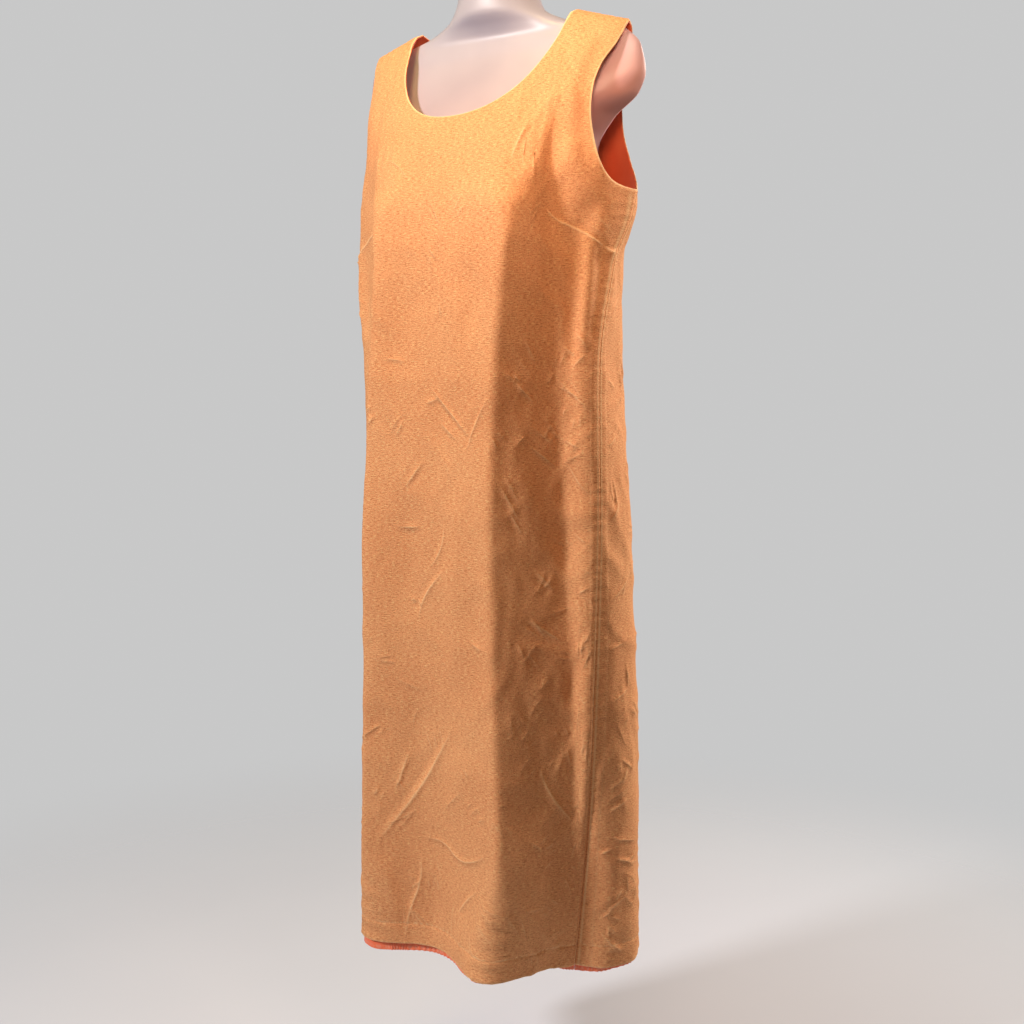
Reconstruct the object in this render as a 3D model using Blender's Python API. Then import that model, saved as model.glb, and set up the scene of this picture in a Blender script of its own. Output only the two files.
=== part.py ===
"""A long sleeveless shift dress, worn by an open-backed hanging torso form.

Metres, +Z up. The origin is the inside top of the form's hook, where a rail or a nail carries it.
The dress faces -Y, and +X is the wearer's left. A drop is measured down from the neck end of the
shoulder seam.

The dress is a front and a back of woven cloth, each with a lining. A panel is cut as a flat
pattern, bent round a ladder of sections, and given its wall. Each section runs from side seam to
side seam as straight stretches with rounded corners, and each corner is one lengthwise fold.
"""

import math
from collections import namedtuple

import bmesh
import bpy
import numpy as np
from mathutils import Vector
from mathutils.geometry import delaunay_2d_cdt

# Heights.
HOOK_ABOVE_NECK = 0.062
NECK_ABOVE_SHOULDER = 0.078
SHOULDER_Z = -(HOOK_ABOVE_NECK + NECK_ABOVE_SHOULDER)
HEM_DROP = 1.165
LINING_HEM_DROP = 1.178

# Cloth.
CLOTH_WALL = 0.0012
LINING_WALL = 0.0010
LAYER_GAP = 0.0006
SEAM_GAP = 0.0008

# Neck, shoulders and armholes.
NECK_HALF_WIDTH = 0.117
FRONT_NECK_DROP = 0.125
BACK_NECK_DROP = 0.035
NECK_SQUARENESS = 2.2
SHOULDER_TIP_X = 0.190
SHOULDER_FALL = 0.021
SHOULDER_FALL_ENDS = 0.10
UNDERARM_DROP = 0.215
ARMHOLE_STRAIGHT_TO = 0.120
FRONT_ARMHOLE_INSET = 0.019
BACK_ARMHOLE_INSET = 0.032
ARMHOLE_INSET_BY = 0.10

# The middle of every section, at each drop: the front's centre, the folds that fall from the two
# sides of the bust, and the back's centre and corners. An x on a fold is its distance from the
# middle plane.
MiddleRow = namedtuple(
    "MiddleRow",
    "drop centre_x centre_y left_bust_x left_bust_y right_bust_x bust_y corner_x corner_y back_y",
)
MIDDLE = [
    MiddleRow(*row)
    for row in (
        (0.000, 0.000, 0.000, 0.118, 0.000, 0.118, 0.000, 0.118, 0.000, 0.000),
        (0.006, 0.000, -0.014, 0.118, -0.013, 0.118, -0.013, 0.118, 0.016, 0.016),
        (0.032, 0.000, -0.036, 0.117, -0.032, 0.115, -0.032, 0.120, 0.033, 0.034),
        (0.070, 0.000, -0.066, 0.118, -0.056, 0.113, -0.056, 0.122, 0.044, 0.045),
        (0.120, 0.000, -0.098, 0.120, -0.083, 0.108, -0.083, 0.125, 0.051, 0.053),
        (0.175, 0.000, -0.121, 0.121, -0.119, 0.096, -0.119, 0.130, 0.055, 0.058),
        (0.240, 0.000, -0.138, 0.120, -0.146, 0.079, -0.146, 0.140, 0.057, 0.061),
        (0.300, 0.000, -0.141, 0.114, -0.147, 0.076, -0.147, 0.143, 0.056, 0.063),
        (0.420, 0.000, -0.140, 0.101, -0.147, 0.086, -0.147, 0.150, 0.057, 0.065),
        (0.620, -0.005, -0.136, 0.096, -0.148, 0.097, -0.148, 0.163, 0.060, 0.068),
        (0.840, -0.012, -0.124, 0.102, -0.149, 0.102, -0.149, 0.174, 0.063, 0.071),
        (1.030, -0.018, -0.108, 0.110, -0.152, 0.111, -0.150, 0.176, 0.066, 0.073),
        (1.190, -0.022, -0.092, 0.092, -0.172, 0.118, -0.151, 0.177, 0.068, 0.075),
    )
]

# Each side of every section: the hollow beside the bust fold, the turn in front of the side seam,
# the seam, and behind it the knee and the flank by which the back comes round.
SideRow = namedtuple(
    "SideRow", "drop hollow_x hollow_y turn_x turn_y seam_x seam_y knee_x knee_y flank_x flank_y"
)
LEFT_SIDE = [
    SideRow(*row)
    for row in (
        (0.000, 0.145, 0.000, 0.180, 0.000, 0.200, 0.000, 0.190, 0.000, 0.172, 0.000),
        (0.006, 0.145, -0.011, 0.182, -0.008, 0.204, 0.001, 0.192, 0.007, 0.170, 0.013),
        (0.032, 0.141, -0.027, 0.182, -0.023, 0.208, 0.001, 0.196, 0.012, 0.166, 0.029),
        (0.070, 0.138, -0.045, 0.180, -0.043, 0.210, 0.003, 0.198, 0.015, 0.162, 0.040),
        (0.120, 0.140, -0.065, 0.180, -0.061, 0.210, 0.005, 0.198, 0.017, 0.160, 0.045),
        (0.175, 0.139, -0.079, 0.187, -0.061, 0.207, 0.005, 0.196, 0.017, 0.166, 0.041),
        (0.240, 0.138, -0.081, 0.184, -0.044, 0.199, -0.002, 0.192, 0.012, 0.176, 0.031),
        (0.300, 0.143, -0.081, 0.174, -0.050, 0.186, -0.022, 0.180, -0.002, 0.170, 0.022),
        (0.420, 0.140, -0.074, 0.172, -0.063, 0.182, -0.046, 0.179, -0.018, 0.172, 0.016),
        (0.620, 0.146, -0.065, 0.172, -0.060, 0.185, -0.048, 0.190, -0.020, 0.188, 0.013),
        (0.840, 0.157, -0.060, 0.175, -0.059, 0.180, -0.051, 0.196, -0.022, 0.200, 0.012),
        (1.030, 0.153, -0.056, 0.161, -0.049, 0.164, -0.042, 0.192, -0.028, 0.204, 0.012),
        (1.190, 0.128, -0.067, 0.141, -0.054, 0.149, -0.044, 0.185, -0.029, 0.208, 0.012),
    )
]
RIGHT_SIDE = [
    SideRow(*row)
    for row in (
        (0.000, 0.145, 0.000, 0.180, 0.000, 0.200, 0.000, 0.190, 0.000, 0.172, 0.000),
        (0.006, 0.145, -0.011, 0.182, -0.008, 0.204, 0.001, 0.192, 0.007, 0.170, 0.013),
        (0.032, 0.141, -0.027, 0.182, -0.023, 0.208, 0.001, 0.196, 0.012, 0.166, 0.029),
        (0.070, 0.140, -0.045, 0.178, -0.041, 0.210, 0.003, 0.198, 0.015, 0.162, 0.040),
        (0.120, 0.139, -0.063, 0.174, -0.057, 0.206, 0.004, 0.196, 0.017, 0.160, 0.045),
        (0.175, 0.131, -0.076, 0.178, -0.055, 0.205, 0.002, 0.196, 0.017, 0.168, 0.041),
        (0.240, 0.129, -0.078, 0.190, -0.044, 0.210, -0.006, 0.203, 0.012, 0.188, 0.031),
        (0.300, 0.131, -0.076, 0.191, -0.045, 0.213, -0.012, 0.208, 0.006, 0.195, 0.022),
        (0.420, 0.142, -0.070, 0.180, -0.050, 0.201, -0.022, 0.198, -0.004, 0.190, 0.016),
        (0.620, 0.150, -0.064, 0.172, -0.054, 0.187, -0.036, 0.190, -0.014, 0.188, 0.013),
        (0.840, 0.160, -0.058, 0.178, -0.052, 0.187, -0.042, 0.192, -0.018, 0.192, 0.012),
        (1.030, 0.170, -0.054, 0.184, -0.046, 0.193, -0.035, 0.200, -0.014, 0.200, 0.012),
        (1.190, 0.177, -0.050, 0.192, -0.041, 0.202, -0.029, 0.208, -0.010, 0.207, 0.012),
    )
]

# How far each fold's rounding reaches along the cloth on both sides of its corner.
CHEST_ROUND = 0.055
BUST_FOLD_ROUND = 0.010
HEM_FOLD_ROUND = 0.045
HOLLOW_ROUND = 0.011
TURN_ROUND = 0.013
CENTRE_ROUND = 0.045
CORNER_ROUND = 0.030
FLANK_ROUND = 0.022
KNEE_ROUND = 0.012
ROUND_SHARE = 0.45
CHEST_ENDS = 0.14
FOLD_STARTS = 0.29
FOLD_OPENS = 1.00
FOLD_OPEN = 1.16

# Mesh of the cloth.
COLUMN_SPACING = 0.045
ROW_SPACING = 0.068
BODICE_SPACING = 0.029
FRONT_TURNS = (2, 2, 3, 1, 3, 2, 2)
BACK_TURNS = (1, 2, 3, 1, 3, 2, 1)

# The form: at each height above the shoulder, its half width, where its back rim lies, and its
# depth in front of the rim.
FormRow = namedtuple("FormRow", "height half_width rim_y depth")
FORM_ROWS = [
    FormRow(*row)
    for row in (
        (0.078, 0.053, 0.012, 0.046),
        (0.030, 0.058, 0.010, 0.044),
        (0.008, 0.068, 0.006, 0.040),
        (-0.010, 0.104, 0.001, 0.024),
        (-0.021, 0.150, -0.002, 0.017),
        (-0.032, 0.188, 0.000, 0.022),
        (-0.050, 0.204, 0.005, 0.034),
        (-0.078, 0.208, 0.010, 0.057),
        (-0.102, 0.198, 0.013, 0.078),
        (-0.128, 0.164, 0.015, 0.103),
        (-0.160, 0.142, 0.016, 0.118),
        (-0.240, 0.134, 0.016, 0.124),
        (-0.390, 0.113, 0.016, 0.098),
        (-0.500, 0.128, 0.016, 0.104),
    )
]
FORM_WALL = 0.003
FORM_ROUNDNESS = 2.0
FORM_COLUMNS = 16
FORM_ROW_SPACING = 0.045
BUST_MOUND = 0.034
BUST_MOUND_X = 0.082
BUST_MOUND_HEIGHT = -0.235
BUST_MOUND_RADIUS = 0.052
NECK_CAP_STEPS = (0.9, 0.62, 0.3, 0.0)

# The hook.
WIRE_RADIUS = 0.0022
HOOK_RADIUS = 0.020
HOOK_START = math.radians(-62)
HOOK_END = math.radians(196)
WIRE_SIDES = 8
HOOK_Y = -0.010
FERRULE_RADIUS = 0.009
FERRULE_HEIGHT = 0.010


def smooth(knots, values, at):
    """Values interpolated along a smooth curve that never overshoots its knots."""
    knots = np.asarray(knots, float)
    values = np.asarray(values, float)
    steps = np.diff(knots)
    slopes = np.diff(values) / steps
    tangents = np.empty_like(values)
    tangents[0] = slopes[0]
    tangents[-1] = slopes[-1]
    before, after = slopes[:-1], slopes[1:]
    same_way = before * after > 0
    weights = (steps[:-1] + 2 * steps[1:], 2 * steps[:-1] + steps[1:])
    safe = [np.where(same_way, side, 1.0) for side in (after, before)]
    mean = sum(weights) / (weights[0] / safe[0] + weights[1] / safe[1])
    tangents[1:-1] = np.where(same_way, mean, 0.0)
    at = np.clip(at, knots[0], knots[-1])
    i = np.clip(np.searchsorted(knots, at, side="right") - 1, 0, len(steps) - 1)
    h = steps[i]
    s = (at - knots[i]) / h
    return (
        values[i] * (1 + 2 * s) * (1 - s) ** 2
        + h * tangents[i] * s * (1 - s) ** 2
        + values[i + 1] * s**2 * (3 - 2 * s)
        + h * tangents[i + 1] * s**2 * (s - 1)
    )


def fade(start, end, at):
    """0 up to start, 1 from end, and a smooth step between them."""
    s = np.clip((at - start) / (end - start), 0, 1)
    return s * s * (3 - 2 * s)


def column(sections, name):
    return np.array([getattr(section, name) for section in sections])


# Lengths of cloth down the bust fold, from the shoulder seam: the rows of every panel use them.
DROPS = column(MIDDLE, "drop")
FALLS = np.hypot(np.diff(DROPS), np.diff(column(MIDDLE, "bust_y")))
LENGTHS = np.concatenate([[0.0], np.cumsum(FALLS)])


def drop_at(length):
    return smooth(LENGTHS, DROPS, length)


def length_at(drop):
    """The inverse of drop_at, by halving."""
    low = np.zeros_like(np.asarray(drop, float))
    high = low + LENGTHS[-1]
    for _ in range(40):
        middle = (low + high) / 2
        short = drop_at(middle) < drop
        low, high = np.where(short, middle, low), np.where(short, high, middle)
    return (low + high) / 2


def read_table(table, length):
    """Every column of a table, read between its rows at each length of cloth."""
    return type(table[0])(*(smooth(LENGTHS, column(table, name), length) for name in table[0]._fields))


def front_corners(length):
    """The front's folds from the right seam to the left one, as points and how far each is rounded."""
    middle = read_table(MIDDLE, length)
    left, right = read_table(LEFT_SIDE, length), read_table(RIGHT_SIDE, length)
    points = [
        (-right.seam_x, right.seam_y),
        (-right.turn_x, right.turn_y),
        (-right.hollow_x, right.hollow_y),
        (-middle.right_bust_x, middle.bust_y),
        (middle.centre_x, middle.centre_y),
        (middle.left_bust_x, middle.left_bust_y),
        (left.hollow_x, left.hollow_y),
        (left.turn_x, left.turn_y),
        (left.seam_x, left.seam_y),
    ]
    bust = CHEST_ROUND + (BUST_FOLD_ROUND - CHEST_ROUND) * fade(CHEST_ENDS, FOLD_STARTS, middle.drop)
    bust = bust + (HEM_FOLD_ROUND - BUST_FOLD_ROUND) * fade(FOLD_OPENS, FOLD_OPEN, middle.drop)
    return points, (0, TURN_ROUND, HOLLOW_ROUND, bust, CENTRE_ROUND, bust, HOLLOW_ROUND, TURN_ROUND, 0)


def back_corners(length):
    """The back's folds from the right seam to the left one, as points and how far each is rounded."""
    middle = read_table(MIDDLE, length)
    left, right = read_table(LEFT_SIDE, length), read_table(RIGHT_SIDE, length)
    points = [
        (-right.seam_x, right.seam_y),
        (-right.knee_x, right.knee_y),
        (-right.flank_x, right.flank_y),
        (-middle.corner_x, middle.corner_y),
        (0 * middle.back_y, middle.back_y),
        (middle.corner_x, middle.corner_y),
        (left.flank_x, left.flank_y),
        (left.knee_x, left.knee_y),
        (left.seam_x, left.seam_y),
    ]
    side = (0, KNEE_ROUND, FLANK_ROUND, CORNER_ROUND)
    return points, (*side, CENTRE_ROUND, *side[::-1])


def along_section(corners, across):
    """The (x, y) of points at `across` on a section. A stretch between two corners, and each
    corner, takes 1 of it, so the section of n corners runs from 0 to 2 n - 3."""
    points, roundings = corners
    points = [np.stack(np.broadcast_arrays(*p), -1) for p in points]
    spans = [b - a for a, b in zip(points, points[1:])]
    reach = [np.linalg.norm(span, axis=-1) for span in spans]
    ways = [span / size[..., None] for span, size in zip(spans, reach)]
    trimmed = [0 * reach[0]]
    for i in range(1, len(points) - 1):
        room = ROUND_SHARE * np.minimum(reach[i - 1], reach[i])
        trimmed.append(np.minimum(roundings[i], room))
    trimmed.append(0 * reach[0])
    pieces = []
    for i, way in enumerate(ways):
        start = points[i] + way * trimmed[i][..., None]
        end = points[i + 1] - way * trimmed[i + 1][..., None]
        pieces.append((start, (start + end) / 2, end))
        if i + 1 < len(ways):
            leave = points[i + 1] + ways[i + 1] * trimmed[i + 1][..., None]
            pieces.append((end, points[i + 1], leave))
    stack = np.array([np.stack(np.broadcast_arrays(*piece)) for piece in pieces])
    piece = np.clip(np.floor(across).astype(int), 0, len(pieces) - 1)
    s = (across - piece)[..., None]
    rows = np.arange(len(across))
    start, turn, end = (stack[piece, k, rows] for k in range(3))
    return start * (1 - s) ** 2 + 2 * turn * s * (1 - s) + end * s**2


class Panel:
    """One panel's surface: where a point of its flat pattern lies in space."""

    def __init__(self, corners, turns, facing, armhole_inset):
        self.corners = corners
        self.armhole_inset = armhole_inset
        self.turns = turns
        self.facing = facing
        self.across_end = 2 * len(turns) + 1
        # The flat width at each stretch and corner, taken at the waist.
        steps = np.linspace(0, self.across_end, 40 * self.across_end + 1)
        waist = along_section(corners(np.full(len(steps), length_at(0.42))), steps)
        widths = np.concatenate([[0], np.cumsum(np.linalg.norm(np.diff(waist, axis=0), axis=1))])
        self.steps, self.widths = steps, widths
        self.middle = np.interp(self.across_end / 2, steps, widths)

    @property
    def width(self):
        return self.widths[-1]

    def across(self, width):
        return np.interp(width, self.widths, self.steps)

    def place(self, width, length):
        """Points in space for arrays of pattern widths and lengths."""
        xy = along_section(self.corners(length), self.across(width))
        drop = drop_at(length)
        slope = np.clip((np.abs(xy[:, 0]) - NECK_HALF_WIDTH) / (SHOULDER_TIP_X - NECK_HALF_WIDTH), -1, 1.3)
        fall = SHOULDER_FALL * slope * (1 - fade(0, SHOULDER_FALL_ENDS, drop))
        return np.column_stack([xy, SHOULDER_Z - drop - fall])

    def frame(self, width, length):
        """The unit ways across and down the cloth, and its outward normal."""
        step = 0.0008
        low, high = np.maximum(width - step, 0), np.minimum(width + step, self.width)
        over = self.place(high, length) - self.place(low, length)
        up, down = np.maximum(length - step, 0), np.minimum(length + step, LENGTHS[-1])
        fall = self.place(width, down) - self.place(width, up)
        over /= np.linalg.norm(over, axis=1)[:, None]
        fall /= np.linalg.norm(fall, axis=1)[:, None]
        normal = np.cross(fall, over) * self.facing
        normal /= np.linalg.norm(normal, axis=1)[:, None]
        return over, fall, normal

    def width_where(self, x, length, low, high):
        """The pattern width between low and high at which the section reaches x."""
        low, high = low + 0 * length, high + 0 * length
        for _ in range(40):
            middle = (low + high) / 2
            short = self.place(middle, length)[:, 0] < x
            low, high = np.where(short, middle, low), np.where(short, high, middle)
        return (low + high) / 2


FRONT = Panel(front_corners, FRONT_TURNS, 1, FRONT_ARMHOLE_INSET)
BACK = Panel(back_corners, BACK_TURNS, -1, BACK_ARMHOLE_INSET)


def arc_steps(count):
    return np.linspace(0, math.pi / 2, count + 1)


def neck_curve(panel, neck_drop, side, steps=9):
    """Half the neckline, from the centre up to one shoulder, in the flat pattern."""
    angles = arc_steps(steps)
    x = NECK_HALF_WIDTH * np.sin(angles) ** (2 / NECK_SQUARENESS)
    length = length_at(neck_drop * np.cos(angles) ** (2 / NECK_SQUARENESS))
    middle = panel.middle
    low, high = (middle, panel.width) if side > 0 else (0.0, middle)
    return panel.width_where(side * x, length, low, high), length


def armhole_curve(panel, side, steps=8):
    """One armhole edge, from the shoulder tip down to the underarm, in the flat pattern."""
    straight = length_at(np.array([0.0, 0.012, 0.035, 0.065, 0.095, ARMHOLE_STRAIGHT_TO]))
    drop = drop_at(straight)
    inset = SHOULDER_TIP_X - panel.armhole_inset * fade(0, ARMHOLE_INSET_BY, drop)
    low, high = (panel.middle, panel.width) if side > 0 else (0.0, panel.middle)
    edge = panel.width_where(side * inset, straight, low, high)
    angles = arc_steps(steps)[1:]
    seam = panel.width if side > 0 else 0.0
    sweep = edge[-1] + (seam - edge[-1]) * (1 - np.cos(angles))
    top, bottom = straight[-1], length_at(UNDERARM_DROP)
    return np.concatenate([edge, sweep]), np.concatenate([straight, top + (bottom - top) * np.sin(angles)])


def outline(panel, neck_drop):
    """The panel's cut down to the hem, clockwise on the pattern, and its rows below the underarm."""
    neck_w, neck_l = neck_curve(panel, neck_drop, 1)
    mirror_w, _ = neck_curve(panel, neck_drop, -1)
    left_w, left_l = armhole_curve(panel, 1)
    right_w, right_l = armhole_curve(panel, -1)
    underarm, hem = length_at(UNDERARM_DROP), length_at(HEM_DROP)
    rows = np.linspace(underarm, hem, math.ceil((hem - underarm) / ROW_SPACING) + 1)
    seam = rows[1:-1]
    columns = grid_columns(panel)
    cut = np.concatenate(
        [
            np.column_stack([columns, 0 * columns + hem]),
            np.column_stack([0 * seam + panel.width, seam])[::-1],
            np.column_stack([left_w, left_l])[::-1],
            np.column_stack([neck_w, neck_l])[::-1],
            np.column_stack([mirror_w, neck_l])[1:],
            np.column_stack([right_w, right_l]),
            np.column_stack([0 * seam, seam]),
        ]
    )
    return cut, rows


def grid_columns(panel):
    """Pattern widths of the columns: each fold's rounding has its own, and stretches are shared out."""
    marks = []
    for k in range(panel.across_end):
        start, end = np.interp([k, k + 1], panel.steps, panel.widths)
        parts = panel.turns[k // 2] if k % 2 else math.ceil((end - start) / COLUMN_SPACING)
        marks.extend(np.linspace(start, end, parts, endpoint=False))
    return np.array(marks + [panel.width])


def inside(polygon, points, margin):
    """Which points lie in the polygon, at least margin from its edge."""
    a, b = polygon, np.roll(polygon, -1, axis=0)
    within = np.zeros(len(points), bool)
    near = np.full(len(points), np.inf)
    for p, q in zip(a, b):
        crosses = (p[1] > points[:, 1]) != (q[1] > points[:, 1])
        with np.errstate(divide="ignore", invalid="ignore"):
            x = (q[0] - p[0]) * (points[:, 1] - p[1]) / (q[1] - p[1]) + p[0]
        within ^= crosses & (points[:, 0] < x)
        way = q - p
        share = np.clip(((points - p) @ way) / (way @ way), 0, 1)
        near = np.minimum(near, np.linalg.norm(points - p - share[:, None] * way, axis=1))
    return within & (near > margin)


def triangulate(panel, neck_drop):
    """The flat pattern as points and triangles, from its cut and a grid that follows the folds. The
    hem's points come first, from the right seam to the left one."""
    cut, rows = outline(panel, neck_drop)
    bodice_rows = np.arange(BODICE_SPACING, rows[0] - BODICE_SPACING / 2, BODICE_SPACING)
    grid = np.array([(w, l) for l in (*bodice_rows, *rows[:-1]) for w in grid_columns(panel)])
    grid = grid[inside(cut, grid, 0.009)]
    points = np.concatenate([cut, grid])
    ring = list(range(len(cut)))
    made = delaunay_2d_cdt([Vector(p) for p in points], [], [ring], 1, 1e-6)
    flat = np.array([tuple(v) for v in made[0]])
    return flat, [tuple(f) for f in made[2]]


def lengthen(panel, flat, triangles, hem_drop):
    """The pattern with one more strip of cloth below its hem."""
    count = len(grid_columns(panel))
    strip = np.column_stack([flat[:count, 0], np.zeros(count) + length_at(hem_drop)])
    first = len(flat)
    more = []
    for i in range(count - 1):
        more.append((i, i + 1, first + i + 1))
        more.append((i, first + i + 1, first + i))
    return np.concatenate([flat, strip]), triangles + more


def mitre(normal, other):
    """The step that moves two meeting walls' faces by one unit each."""
    both = normal + other
    return both / (1 + (normal * other).sum(1))[:, None]


def offsets(panel, partner, flat):
    """The way each point moves for the wall's depth: the normal, or at a seam the mitre with the
    partner panel's normal. Also the small step that opens the seam."""
    width, length = flat[:, 0], flat[:, 1]
    over, fall, normal = panel.frame(width, length)
    way = normal.copy()
    opening = np.zeros_like(normal)
    tiny = 1e-5
    below_arm = length > length_at(UNDERARM_DROP) - tiny
    for at_seam, seam, other_width, step in (
        (below_arm & (width < tiny), 0.0, 0.0, over),
        (below_arm & (width > panel.width - tiny), panel.width, partner.width, -over),
    ):
        if at_seam.any():
            rows = length[at_seam]
            _, _, other = partner.frame(0 * rows + other_width, rows)
            way[at_seam] = mitre(normal[at_seam], other)
            opening[at_seam] += step[at_seam] * SEAM_GAP / 2
    shoulder = length < tiny
    share = width[shoulder] / panel.width
    _, _, other = partner.frame(share * partner.width, 0 * share)
    way[shoulder] = mitre(normal[shoulder], other)
    opening[shoulder] += fall[shoulder] * SEAM_GAP / 2
    return way, opening


def wall(name, panel, partner, pattern, depth, thickness, material):
    """A panel's closed wall, its outer face `depth` inside the pattern's surface."""
    flat, triangles = pattern
    surface = panel.place(flat[:, 0], flat[:, 1])
    way, opening = offsets(panel, partner, flat)
    mesh = bmesh.new()
    outer = [mesh.verts.new(p) for p in surface + opening - way * depth]
    inner = [mesh.verts.new(p) for p in surface + opening - way * (depth + thickness)]
    for a, b, c in triangles:
        mesh.faces.new((outer[a], outer[b], outer[c]))
        mesh.faces.new((inner[c], inner[b], inner[a]))
    close_edges(mesh, dict(zip(outer, inner)))
    return finish_mesh(name, mesh, material)


def close_edges(mesh, partner):
    """Joins the outer sheet's open edges to the inner sheet's."""
    for edge in [e for e in mesh.edges if e.is_boundary and e.verts[0] in partner]:
        a, b = edge.verts
        mesh.faces.new((a, b, partner[b], partner[a]))


def finish_mesh(name, mesh, material):
    bmesh.ops.recalc_face_normals(mesh, faces=mesh.faces)
    data = bpy.data.meshes.new(name)
    mesh.to_mesh(data)
    mesh.free()
    data.shade_smooth()
    data.set_sharp_from_angle(angle=math.radians(50))
    data.materials.append(material)
    made = bpy.data.objects.new(name, data)
    bpy.context.scene.collection.objects.link(made)
    return made


def make_material(name, colour, roughness, metallic=0.0):
    made = bpy.data.materials.new(name)
    made.use_nodes = True
    shader = made.node_tree.nodes["Principled BSDF"]
    shader.inputs["Base Color"].default_value = (*colour, 1.0)
    shader.inputs["Roughness"].default_value = roughness
    shader.inputs["Metallic"].default_value = metallic
    return made


def form_surface(heights, angles, shrink):
    """Points of the form's outer face. An angle runs from -90 degrees at the right rim to 90 at
    the left one, and shrink draws a row in towards the neck's centre for its flat top."""
    rows = sorted(FORM_ROWS)
    knots = column(rows, "height")
    half_width = smooth(knots, column(rows, "half_width"), heights)
    depth = smooth(knots, column(rows, "depth"), heights)
    rim_y = smooth(knots, column(rows, "rim_y"), heights)
    x = half_width * np.sin(angles)
    forward = depth * np.abs(np.cos(angles)) ** (2 / FORM_ROUNDNESS)
    for side in (-1, 1):
        away = np.hypot(x - side * BUST_MOUND_X, heights - BUST_MOUND_HEIGHT) / BUST_MOUND_RADIUS
        forward = forward + BUST_MOUND * np.exp(-(away**2)) * np.cos(angles) ** 0.5
    return np.stack([x * shrink, rim_y - forward * shrink, SHOULDER_Z + heights], -1)


def build_form(material):
    """An open-backed shell: neck with a flat top, shoulders with short rounded arm caps, and torso."""
    knots = sorted(column(FORM_ROWS, "height"), reverse=True)
    heights, shrinks = [knots[0]] * len(NECK_CAP_STEPS), sorted(NECK_CAP_STEPS)
    for low, high in zip(knots[1:], knots[:-1]):
        parts = max(1, math.ceil((high - low) / FORM_ROW_SPACING))
        heights.extend(high - np.arange(parts) * (high - low) / parts)
        shrinks.extend([1.0] * parts)
    heights.append(knots[-1])
    shrinks.append(1.0)
    angles = np.linspace(-1, 1, FORM_COLUMNS + 1) * (math.pi / 2 - 0.02)
    grid = np.array(
        [form_surface(np.full(len(angles), h), angles, s) for h, s in zip(heights, shrinks)]
    )
    down, over = np.gradient(grid, axis=0), np.gradient(grid, axis=1)
    normal = np.cross(down, over)
    size = np.linalg.norm(normal, axis=2)[..., None]
    normal = np.where(size > 1e-12, normal / np.maximum(size, 1e-12), (0, 0, 1))
    normal[: len(NECK_CAP_STEPS)] = (0, 0, 1)
    normal[len(NECK_CAP_STEPS)] = (normal[len(NECK_CAP_STEPS)] + np.array((0, 0, 0.8)))
    inner_grid = grid - normal * FORM_WALL
    mesh = bmesh.new()
    outer = [[mesh.verts.new(p) for p in row] for row in grid]
    inner = [[mesh.verts.new(p) for p in row] for row in inner_grid]
    for sheet, way in ((outer, 1), (inner, -1)):
        for r in range(len(sheet) - 1):
            for c in range(len(angles) - 1):
                corners = (sheet[r][c], sheet[r + 1][c], sheet[r + 1][c + 1], sheet[r][c + 1])
                mesh.faces.new(corners[::way])
    partner = {a: b for rows in zip(outer, inner) for a, b in zip(*rows)}
    close_edges(mesh, partner)
    bmesh.ops.remove_doubles(mesh, verts=mesh.verts, dist=1e-5)
    bmesh.ops.dissolve_degenerate(mesh, edges=mesh.edges, dist=1e-6)
    return finish_mesh("form_shell", mesh, material)


def build_hook(material):
    """A bent wire hook whose inside top is the origin, and the ferrule that seats it on the neck."""
    neck_top = SHOULDER_Z + NECK_ABOVE_SHOULDER
    centre_z = -HOOK_RADIUS + WIRE_RADIUS
    path = [(0.0, neck_top + FERRULE_HEIGHT + 2 * SEAM_GAP), (0.0, centre_z - HOOK_RADIUS - 0.010)]
    for angle in np.linspace(HOOK_START, HOOK_END, 16):
        path.append((HOOK_RADIUS * math.cos(angle), centre_z + HOOK_RADIUS * math.sin(angle)))
    path = np.array(path)
    way = np.gradient(path, axis=0)
    way /= np.linalg.norm(way, axis=1)[:, None]
    mesh = bmesh.new()
    rings = []
    for (x, z), (along_x, along_z) in zip(path, way):
        turns = (2 * math.pi * i / WIRE_SIDES for i in range(WIRE_SIDES))
        spokes = ((WIRE_RADIUS * math.cos(t), WIRE_RADIUS * math.sin(t)) for t in turns)
        rings.append([mesh.verts.new((x + c * along_z, HOOK_Y + s, z - c * along_x)) for c, s in spokes])
    for low, high in zip(rings, rings[1:]):
        for i in range(WIRE_SIDES):
            j = (i + 1) % WIRE_SIDES
            mesh.faces.new((low[i], low[j], high[j], high[i]))
    mesh.faces.new(rings[0])
    mesh.faces.new(rings[-1])
    finish_mesh("hook_wire", mesh, material)
    mesh = bmesh.new()
    bmesh.ops.create_cone(
        mesh,
        cap_ends=True,
        segments=20,
        radius1=FERRULE_RADIUS,
        radius2=FERRULE_RADIUS * 0.8,
        depth=FERRULE_HEIGHT,
    )
    bmesh.ops.translate(mesh, verts=mesh.verts, vec=(0, HOOK_Y, neck_top + SEAM_GAP + FERRULE_HEIGHT / 2))
    finish_mesh("hook_ferrule", mesh, material)


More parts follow.
